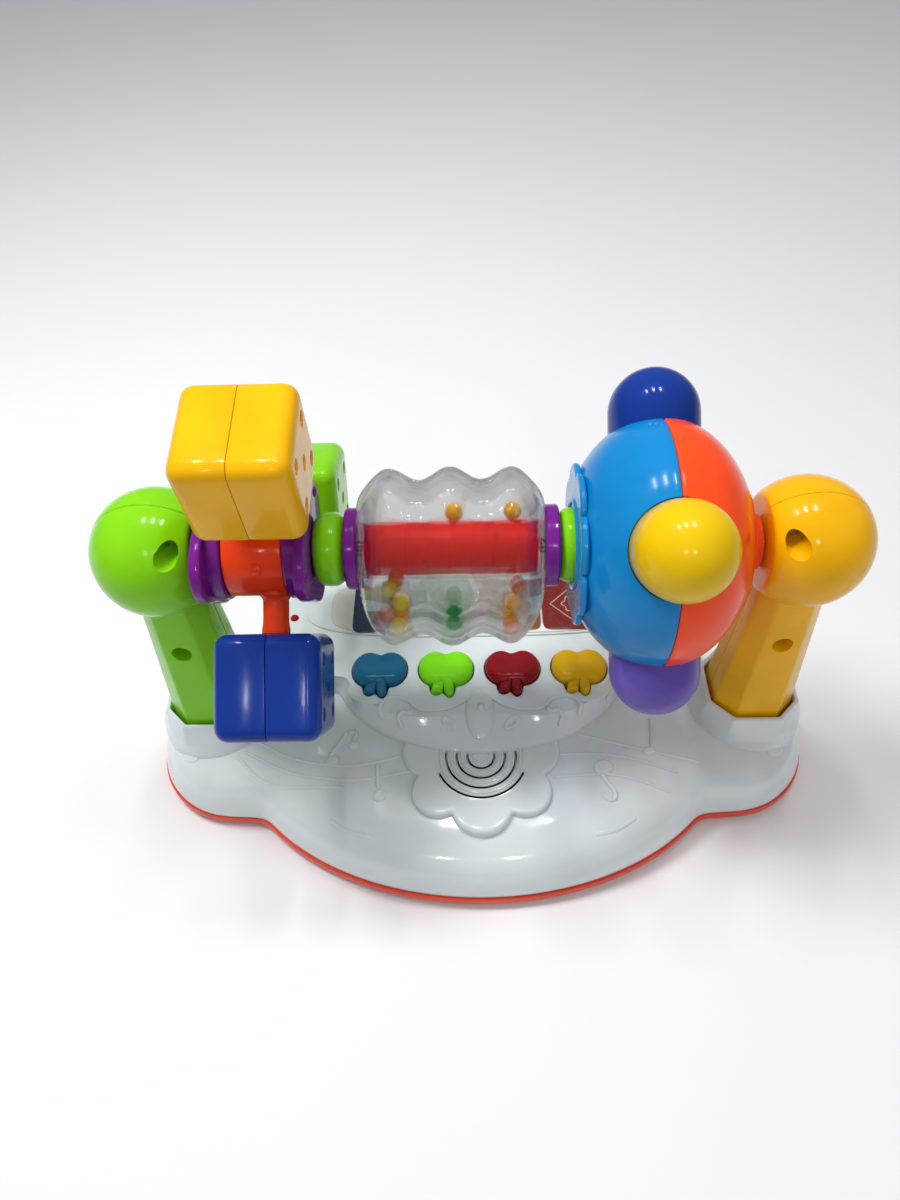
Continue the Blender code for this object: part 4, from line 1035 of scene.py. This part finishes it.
# --- the spinner -----------------------------------------------------------------------------------------


def spun_disc(profile, x_low, lobes=None, count=144, facing=1):
    """Rows about the axle for a disc whose radius is a function of its angle: (inset, distance along)."""
    turn = around(count)
    return [axle_ring(lobes(turn) - inset, turn, x_low + facing * along) for inset, along in profile]


def trefoil(turn):
    return 0.0263 + 0.0040 * np.cos(3 * (turn - math.radians(49.6)))


def make_spinner():
    form = Form()
    low, high = -0.1076, -0.0822
    profile = [(0.0034, low), (0.0192, low), (0.0197, low + 0.0003), (0.0200, low + 0.0010)]
    profile += [(0.0200, high - 0.0010), (0.0197, high - 0.0003), (0.0192, high), (0.0034, high)]
    form.add(turned(profile, 128))
    for degrees in (-10, 111, 232):
        arm = [(0.0080, 0.0150), (0.0074, 0.0198), (0.0063, 0.0206), (0.0057, 0.0218), (0.0056, 0.0235)]
        arm += [(0.0056, 0.0310), (0.0058, 0.0330), (0.0061, 0.0346), (0.0061, 0.0362), (0.0056, 0.0366)]
        arm.append((0.0056, 0.0440))
        form.add(swung(upright(arm, 56), degrees, DIE_X))
        mark = [(0.0028, 0.0190), (0.0028, 0.0202), (0.0024, 0.0206), (0.0018, 0.0204), (0.0012, 0.0200)]
        mark.append((0.0001, 0.0200))
        form.add(swung(upright(mark, 36), degrees + 60, -0.0935))
    piece("hub", form.mesh("hub", [ORANGE], 34), "spinner", "orange_plastic", "spinner_hub")

    for name, face_x, inward, node in (
        ("flange_left", low - 0.0003 - 0.0107, 1, "spinner_flange_left"),
        ("flange_right", high + 0.0003 + 0.0107, -1, "spinner_flange_right"),
    ):
        form = Form()
        plate = [(0.0200, 0), (0.0014, 0), (0.0006, 0.0002), (0.0002, 0.0006), (0, 0.0012), (0, 0.0038)]
        plate += [(0.0002, 0.0044), (0.0006, 0.0048), (0.0014, 0.0050), (0.0200, 0.0050)]
        form.add(spun_disc(plate, face_x, trefoil, 240, inward))
        collar = [(0.0190, 0.0045), (0, 0.0045), (0, 0.0100), (0.0003, 0.0105), (0.0008, 0.0107)]
        collar.append((0.0190, 0.0107))
        form.add(spun_disc(collar, face_x, lambda turn: np.full(len(turn), 0.0212), 128, inward))
        boss = [(0.0088, 0.0006), (0, 0.0006), (0, -0.0001), (0.0003, -0.0003), (0.0088, -0.0003)]
        if inward > 0:
            form.add(spun_disc(boss, face_x, lambda turn: np.full(len(turn), 0.0125), 96, inward))
        for turn_at in range(3):
            angle = math.radians(49.6 + 120 * turn_at)
            dome = [(0.0025, -0.0004), (0.0023, 0.0003), (0.0017, 0.0008), (0.0009, 0.0011), (0.0001, 0.0012)]
            turn = np.arange(28) * TURN / 28
            rows = []
            for r, along in dome:
                across, up = r * np.cos(turn), 0.0252 + r * np.sin(turn)
                y = up * math.sin(angle) + across * math.cos(angle)
                z = AXLE_Z + up * math.cos(angle) - across * math.sin(angle)
                rows.append(np.stack([np.full(28, face_x - inward * along), y, z], axis=1))
            form.add(rows)
        piece(name, form.mesh(name, [PURPLE], 30), "spinner", "purple_plastic", node)

    for name, degrees, finish, slot in (
        ("yellow", -10, YELLOW, "yellow_plastic"),
        ("green", 111, LIME, "lime_plastic"),
        ("blue", 232, NAVY, "navy_plastic"),
    ):
        make_die(name, degrees, finish, slot)


def die_half(side):
    """Half of a round-edged cube about the origin, with a fine chamfer at the parting plane."""
    bm = bmesh.new()
    bmesh.ops.create_cube(bm, size=0.045)
    bmesh.ops.bevel(bm, geom=bm.edges[:], offset=0.0062, segments=9, profile=0.5, affect="EDGES")
    bmesh.ops.bisect_plane(
        bm,
        geom=bm.verts[:] + bm.edges[:] + bm.faces[:],
        plane_co=(side * 0.0001, 0, 0),
        plane_no=(-side, 0, 0),
        clear_outer=True,
    )
    bmesh.ops.holes_fill(bm, edges=[edge for edge in bm.edges if edge.is_boundary], sides=0)
    cut_face = [edge for edge in bm.edges if all(abs(v.co.x - side * 0.0001) < 1e-6 for v in edge.verts)]
    bmesh.ops.bevel(bm, geom=cut_face, offset=0.0004, segments=2, profile=0.5, affect="EDGES")
    mesh = bpy.data.meshes.new("die")
    bm.to_mesh(mesh)
    bm.free()
    return mesh


# A pip's pit in the end face of a die and the dot in it, as (radius, distance from the die's middle).
PIP_PIT = [(0.0029, 0.0214), (0.0030, 0.0220), (0.0032, 0.0224), (0.0036, 0.0228), (0.0036, 0.0250)]
PIP_DOT = [(0.0030, 0.0195), (0.0030, 0.0215), (0.0027, 0.0217), (0.0018, 0.02185), (0.0001, 0.0219)]


def make_die(name, degrees, finish, slot):
    turn = Matrix.Translation((DIE_X, 0, AXLE_Z)) @ Matrix.Rotation(-math.radians(degrees), 4, "X")
    turn = turn @ Matrix.Translation((0, 0, 0.0590))
    spots = [(0, 0), *[(a * 0.0115, b * 0.0115) for a in (-1, 1) for b in (-1, 1)]]
    for half, side in (("left", -1), ("right", 1)):
        cutters, marks = [], Form()
        circle = around(36)

        def round_rows(profile, a, b):
            return [
                np.column_stack([np.full(36, side * x), a + r * np.cos(circle), b + r * np.sin(circle)])
                for r, x in profile
            ]

        for index, (a, b) in enumerate(spots):
            cutters.append(Form().add(round_rows(PIP_PIT, a, b)).mesh(f"pit_{index}", []))
            if index:
                marks.add(round_rows(PIP_DOT, a, b))
        mesh = die_half(side)
        mesh.materials.append(finish)
        mesh = carved(mesh, cutters)
        mesh.transform(turn)
        piece(f"{name}_die_{half}_half", mesh, "spinner", slot, f"{name}_die_{half}")
        dots = marks.mesh(f"{name}_pips_{half}", [BALL_ORANGE], 40)
        dots.transform(turn)
        piece(f"{name}_pips_{half}", dots, "spinner", "orange_plastic", f"{name}_die_{half}")


# --- rings and caps --------------------------------------------------------------------------------------


def make_rings():
    for name, body, node, low, high, radius, curve, finish, slot in (
        ("ring_left", "left_ring", "lime_ring_left", -0.0709, -0.0575, 0.0162, 0.0055, LIME, "lime_plastic"),
        ("ring_right", "right_ring", "lime_ring_right", 0.0343, 0.0440, 0.0162, 0.0042, LIME, "lime_plastic"),
        ("cap_left", "tumbler", "tumbler_cap_left", -0.0572, -0.0518, 0.0178, 0.0012, PURPLE, "purple_plastic"),
        ("cap_right", "tumbler", "tumbler_cap_right", 0.0278, 0.0340, 0.0178, 0.0012, PURPLE, "purple_plastic"),
    ):
        arc = np.linspace(0, TURN / 4, 10)
        profile = [(0.0034, low), (0.0060, low)]
        profile += [(radius - curve + curve * math.sin(a), low + curve - curve * math.cos(a)) for a in arc]
        profile += [(radius - curve + curve * math.cos(a), high - curve + curve * math.sin(a)) for a in arc]
        profile += [(0.0060, high), (0.0034, high)]
        form = Form().add(turned(profile, 128))
        piece(name, form.mesh(name, [finish], 34), body, slot, node)


# --- the tumbler -----------------------------------------------------------------------------------------

TUMBLER_MIDDLE = -0.0120
TUMBLER_TILT = math.radians(-29)


def tilted(rows):
    rows = np.asarray(rows, dtype=float)
    out = rows.copy()
    cos, sin = math.cos(TUMBLER_TILT), math.sin(TUMBLER_TILT)
    out[..., 0] += TUMBLER_MIDDLE
    out[..., 1] = rows[..., 1] * cos - rows[..., 2] * sin
    out[..., 2] = AXLE_Z + rows[..., 1] * sin + rows[..., 2] * cos
    return out


def tumbler_angles(count=300):
    """Angles at which the points of the tumbler's outline lie evenly along it."""
    dense = np.arange(20000) * TURN / 20000
    line = tumbler_outline(0, 0, dense)
    length = np.concatenate([[0], np.cumsum(np.linalg.norm(np.diff(line, axis=0), axis=1))])
    return np.interp(np.arange(count) * length[-1] / count, length, dense)


def tumbler_outline(inset, depth, angles=None):
    angles = TUMBLER_ANGLES if angles is None else angles
    across = np.sign(np.cos(angles)) * np.abs(np.cos(angles)) ** 0.34
    along = np.sign(np.sin(angles)) * np.abs(np.sin(angles)) ** 0.34
    x = (0.0395 - inset) * across
    tall = np.where(along > 0, 0.0312, 0.0403) + 0.0028 * np.cos(TURN * x / 0.0265) - inset
    return np.column_stack([x, np.full(len(angles), depth), tall * along])


TUMBLER_ANGLES = tumbler_angles()


def make_tumbler():
    wall_line = [(0, 0.0001), (0.0002, 0.0060), (0.0012, 0.0120), (0.0045, 0.0172), (0.0100, 0.0195)]
    outer = even([*wall_line, (0.0160, 0.0201)], 26, 6)
    wall = 0.0020
    for name, side in (("child_side", 1), ("speaker_side", -1)):
        lip = [(-0.0009, 0.0001), (-0.0011, 0.0004), (-0.0011, 0.0012), (-0.0008, 0.0015), (0.0001, 0.0017)]
        rows = [tumbler_outline(inset, side * depth) for inset, depth in lip]
        rows += [tumbler_outline(inset, side * depth) for inset, depth in outer if depth > 0.0019]
        for step in (0.004, 0.008, 0.012):
            rows.append(tumbler_outline(0.0160 + step, side * (0.0201 + 0.0003 * step / 0.012)))
        rows.append(tumbler_outline(0.0310, side * 0.0205))
        rows.append(tumbler_outline(0.0310, side * (0.0205 - wall)))
        rows += [tumbler_outline(0.0160 + step, side * (0.0201 - wall)) for step in (0.012, 0.008, 0.004)]
        rows += [tumbler_outline(inset + wall, side * max(0.0001, depth - wall)) for inset, depth in outer[::-1]]
        rows.append(tumbler_outline(wall, side * 0.0001))
        form = Form().add(tilted(rows), False, False)
        count = len(rows[0])
        # The face is closed by one cap outside and one inside.
        index = [i for i, row in enumerate(rows) if abs(abs(row[0][1]) - 0.0205) < 1e-9][0]
        form.faces = [f for i, f in enumerate(form.faces) if not index * count <= i < (index + 1) * count]
        form.faces.append(list(range(index * count, (index + 1) * count)))
        form.faces.append(list(range((index + 1) * count, (index + 2) * count))[::-1])
        # The parting face joins the outer and the inner edge.
        last = (len(rows) - 1) * count
        form.faces += [[i, last + i, last + (i + 1) % count, (i + 1) % count] for i in range(count)]
        form.slots = [0] * len(form.faces)
        shell = form.mesh(f"shell_{name}", [CLEAR], 40)
        piece(f"tumbler_{name}", shell, "tumbler", "clear_plastic", f"tumbler_shell_{name}")

    profile = [(0.0100, -0.0367)]
    for x in np.linspace(-0.0367, 0.0367, 180):
        end = min(1, (0.0367 - abs(x)) / 0.0008)
        rib = max(0, math.cos(x * TURN / 0.0092)) ** 12
        profile.append((0.0111 + 0.0006 * end + 0.00016 * rib, x))
    profile += [(0.0100, 0.0367)]
    form = Form().add(turned([(r, TUMBLER_MIDDLE + x) for r, x in profile], 96))
    piece("tube", form.mesh("tube", [RED], 40), "tumbler", "red_plastic", "tumbler_tube")

    beads = {
        "left": [
            ("orange", -0.0370, 0.0040, -0.0152),
            ("lemon", -0.0404, 0.0, -0.0189),
            ("lemon", -0.0345, -0.0050, -0.0229),
            ("orange", -0.0420, -0.0020, -0.0300),
            ("orange", -0.0345, 0.0010, -0.0313),
            ("lemon", -0.0360, -0.0060, -0.0343),
        ],
        "middle": [
            ("green", -0.0114, 0.0010, -0.0285),
            ("green", -0.0114, -0.0040, -0.0345),
            ("amber", -0.0105, 0.0, 0.0160),
        ],
        "right": [
            ("orange", 0.0174, 0.0, -0.0176),
            ("amber", 0.0150, -0.0040, -0.0243),
            ("lemon", 0.0139, 0.0030, -0.0322),
            ("orange", 0.0139, -0.0050, -0.0345),
            ("amber", 0.0147, 0.0, 0.0160),
        ],
    }
    colours = list(BEAD_COLOURS)
    for name, spots in beads.items():
        form = Form()
        for colour, x, y, z in spots:
            lat = np.linspace(-TURN / 4 + 0.03, TURN / 4 - 0.03, 17)
            profile = [(0.0040 * math.cos(a), 0.0040 * math.sin(a)) for a in lat]
            rows = np.array(upright(profile, 32))
            rows += (x - TUMBLER_MIDDLE, y, z)
            form.add(tilted(rows), slot=colours.index(colour))
        mesh = form.mesh(f"beads_{name}", list(BEAD_COLOURS.values()), 60)
        piece(f"beads_{name}", mesh, "tumbler", "amber_bead", f"tumbler_beads_{name}")


# --- the ball --------------------------------------------------------------------------------------------

KNOBS = {"navy": (48, NAVY), "yellow": (-47, KNOB_YELLOW), "lavender": (223, LAVENDER), "lime": (135, LIME)}


def petals(radius, petal):
    return lambda turn: radius - petal + petal * np.abs(np.cos(turn * 4)) ** 0.6


def make_ball():
    widest = math.asin(0.0350 / 0.0404)
    arcs = np.linspace(0, widest, 40)
    edge = [(0.0534, 0.0001), (0.0537, 0.0003), (0.0539, 0.0006)]
    curve = [(0.0540 * math.cos(a), 0.0404 * math.sin(a)) for a in arcs[1:]]
    profile = edge + curve + [(0.0262, 0.0353), (0.0250, 0.0354), (0.0045, 0.0354)]
    for name, facing, finish, slot, node in (
        ("ball_blue_half", -1, BALL_BLUE, "ball_blue", "ball_shell_blue"),
        ("ball_orange_half", 1, BALL_ORANGE, "ball_orange", "ball_shell_orange"),
    ):
        spun = [(0.0045, 0.0001)] + profile
        rows = turned([(r, BALL_X + facing * x) for r, x in spun], 160)
        mesh = Form().add(rows).mesh(name, [finish], 30)
        cutters = []
        for knob, (degrees, _) in KNOBS.items():
            hole = [(0.0201, 0.0380), (0.0201, 0.0800)]
            cutters.append(Form().add(swung(upright(hole, 96), degrees, BALL_X)).mesh(knob, []))
        piece(name, carved(mesh, cutters), "ball", slot, node)

    blue = Form()
    outer = [(0.016, 0.0004), (0.0020, 0.0001), (0.0010, 0.0001), (0.0003, 0.0004), (0, 0.0009)]
    outer += [(0, 0.0021), (0.0004, 0.0027), (0.0011, 0.0029), (0.012, 0.0032)]
    blue.add(spun_disc(outer, 0.0404, petals(0.0350, 0.0040), 288), low_cap=False)
    wall = turned([(0.0195, 0.0407), (0.0180, 0.0409), (0.0180, 0.0449), (0.0040, 0.0449)], 96)
    blue.add(wall, low_cap=False)
    ring = [(0.0180, 0.0408), (0.0184, 0.0400), (0.0192, 0.0396), (0.0202, 0.0398), (0.0208, 0.0408)]
    blue.add(turned(ring, 96), False, False)
    mesh = blue.mesh("ball_blue_flange", [BALL_BLUE], 32)
    piece("ball_blue_flange", mesh, "ball", "ball_blue", "ball_shell_blue")

    orange = Form()
    outer = [(0, -0.0040), (0, 0.0042), (0.0001, 0.0050), (0.0005, 0.0056), (0.0012, 0.0058), (0.018, 0.0059)]
    orange.add(spun_disc(outer, 0.1062, petals(0.0262, 0.0030), 288))
    collar = [(0.0120, 0.1100), (0.0120, 0.1186), (0.0117, 0.1190), (0.0112, 0.1192), (0.0040, 0.1192)]
    orange.add(turned(collar, 96))
    mesh = orange.mesh("ball_orange_flange", [BALL_ORANGE], 32)
    piece("ball_orange_flange", mesh, "ball", "ball_orange", "ball_shell_orange")

    knob, middle = 0.0197, 0.0556
    profile = [(0.0003, 0.0400), (0.0190, 0.0400), (0.0195, 0.0402), (knob, 0.0408)]
    for a in np.linspace(0, TURN / 4 - 0.01, 30):
        profile.append((knob * math.cos(a), middle + knob * math.sin(a)))
    slots = {"navy": "navy_plastic", "yellow": "knob_yellow", "lavender": "knob_lavender", "lime": "lime_plastic"}
    for name, (degrees, finish) in KNOBS.items():
        form = Form().add(swung(upright(profile, 96), degrees, BALL_X))
        mesh = form.mesh(f"knob_{name}", [finish], 34)
        piece(f"knob_{name}", mesh, "ball", slots[name], f"ball_knob_{name}")


# --- what keeps the shape of the CAD ---------------------------------------------------------------------


def finish_kept():
    kept = {
        "battery_door": ORANGE_RED,
        "battery_door_screw": STEEL,
        "battery_contact_left": STEEL,
        "battery_contact_right": STEEL,
        "axle_rod": STEEL,
        "control_board": BOARD,
        "speaker_driver": DARK,
        "power_switch_slider": DARK,
        **{f"battery_{i}": JACKET for i in (1, 2, 3)},
        **{f"lime_post_screw_{level}": STEEL for level in ("upper", "lower")},
        **{f"yellow_post_screw_{level}": STEEL for level in ("upper", "lower")},
    }
    for name, finish in kept.items():
        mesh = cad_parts[name].data
        for index in range(len(mesh.materials)):
            mesh.materials[index] = finish


# --- light and camera ------------------------------------------------------------------------------------


def area_light(name, place, aim, size, power, matt=False):
    """A soft light. A matt one lights the object and isn't seen in its gloss."""
    data = bpy.data.lights.new(name, "AREA")
    data.shape = "RECTANGLE"
    data.size, data.size_y = size
    data.energy = power
    light = bpy.data.objects.new(name, data)
    light.visible_glossy = not matt
    light.location = place
    light.rotation_euler = (Vector(aim) - Vector(place)).to_track_quat("-Z", "Y").to_euler()
    bpy.context.scene.collection.objects.link(light)


def make_stage():
    made, tree, sockets = material("pale_floor", {"Roughness": 0.7})
    mottle = tree.mix(tree.noise(3, 4), (0.78, 0.78, 0.79), (0.82, 0.82, 0.83))
    tree.links.new(mottle, sockets["Base Color"])
    mesh = bpy.data.meshes.new("floor")
    mesh.from_pydata([(-6, -6, 0), (6, -6, 0), (6, 6, 0), (-6, 6, 0)], [], [(0, 1, 2, 3)])
    mesh.materials.append(made)
    floor = bpy.data.objects.new("floor", mesh)
    bpy.context.scene.collection.objects.link(floor)

    # The room is brighter overhead than at the horizon.
    world = bpy.data.worlds.new("soft_room")
    tree = Tree(world)
    background = tree.nodes["Background"].inputs
    background["Color"].default_value = (0.96, 0.98, 1.0, 1)
    split = tree.nodes.new("ShaderNodeSeparateXYZ")
    tree.links.new(tree.place.outputs["Generated"], split.inputs["Vector"])
    tree.links.new(tree.spread(split.outputs["Z"], 0.22, 0.46, 0.0, 0.9), background["Strength"])
    bpy.context.scene.world = world
    bpy.context.scene.view_settings.view_transform = "Standard"
    area_light("soft_key", (-0.50, 0.12, 1.05), (0, 0, 0.1), (0.26, 0.26), 7.0, matt=True)
    area_light("soft_fill", (0.9, -0.5, 0.9), (0, 0, 0.1), (0.6, 0.6), 1.5, matt=True)
    for x in (-0.30, -0.05, 0.20):
        area_light(f"spark_{x}", (x, 0.20, 1.15), (x, 0, 0.15), (0.06, 0.16), 1.6)
    for x in (-0.18, 0.16):
        area_light(f"near_{x}", (x, -0.80, 0.95), (0, 0, 0.05), (0.06, 0.10), 0.6)


def make_camera():
    down, yaw, roll = (math.radians(a) for a in (CAMERA_DOWN, CAMERA_YAW, CAMERA_ROLL))
    level = Vector((math.cos(yaw), math.sin(yaw), 0))
    ahead = Vector((-math.sin(yaw) * math.cos(down), math.cos(yaw) * math.cos(down), -math.sin(down)))
    above = level.cross(ahead)
    right = level * math.cos(roll) + above * math.sin(roll)
    up = above * math.cos(roll) - level * math.sin(roll)
    data = bpy.data.cameras.new("camera")
    data.lens = LENS
    data.clip_start = 0.01
    camera = bpy.data.objects.new("camera", data)
    camera.matrix_world = Matrix(
        [[right[i], up[i], -ahead[i], CAMERA_PLACE[i]] for i in range(3)] + [[0, 0, 0, 1]]
    )
    bpy.context.scene.collection.objects.link(camera)
    bpy.context.scene.camera = camera


make_shell()
make_plateau()
make_label()
make_relief()
make_bezel()
make_sockets()
make_lower_plate()
make_feet()
make_apples()
make_domes()
make_lamp()
make_post("lime_post", -1, LIME, "lime_plastic")
make_post("yellow_post", 1, YELLOW, "yellow_plastic")
make_spinner()
make_rings()
make_tumbler()
make_ball()
finish_kept()
make_stage()
make_camera()
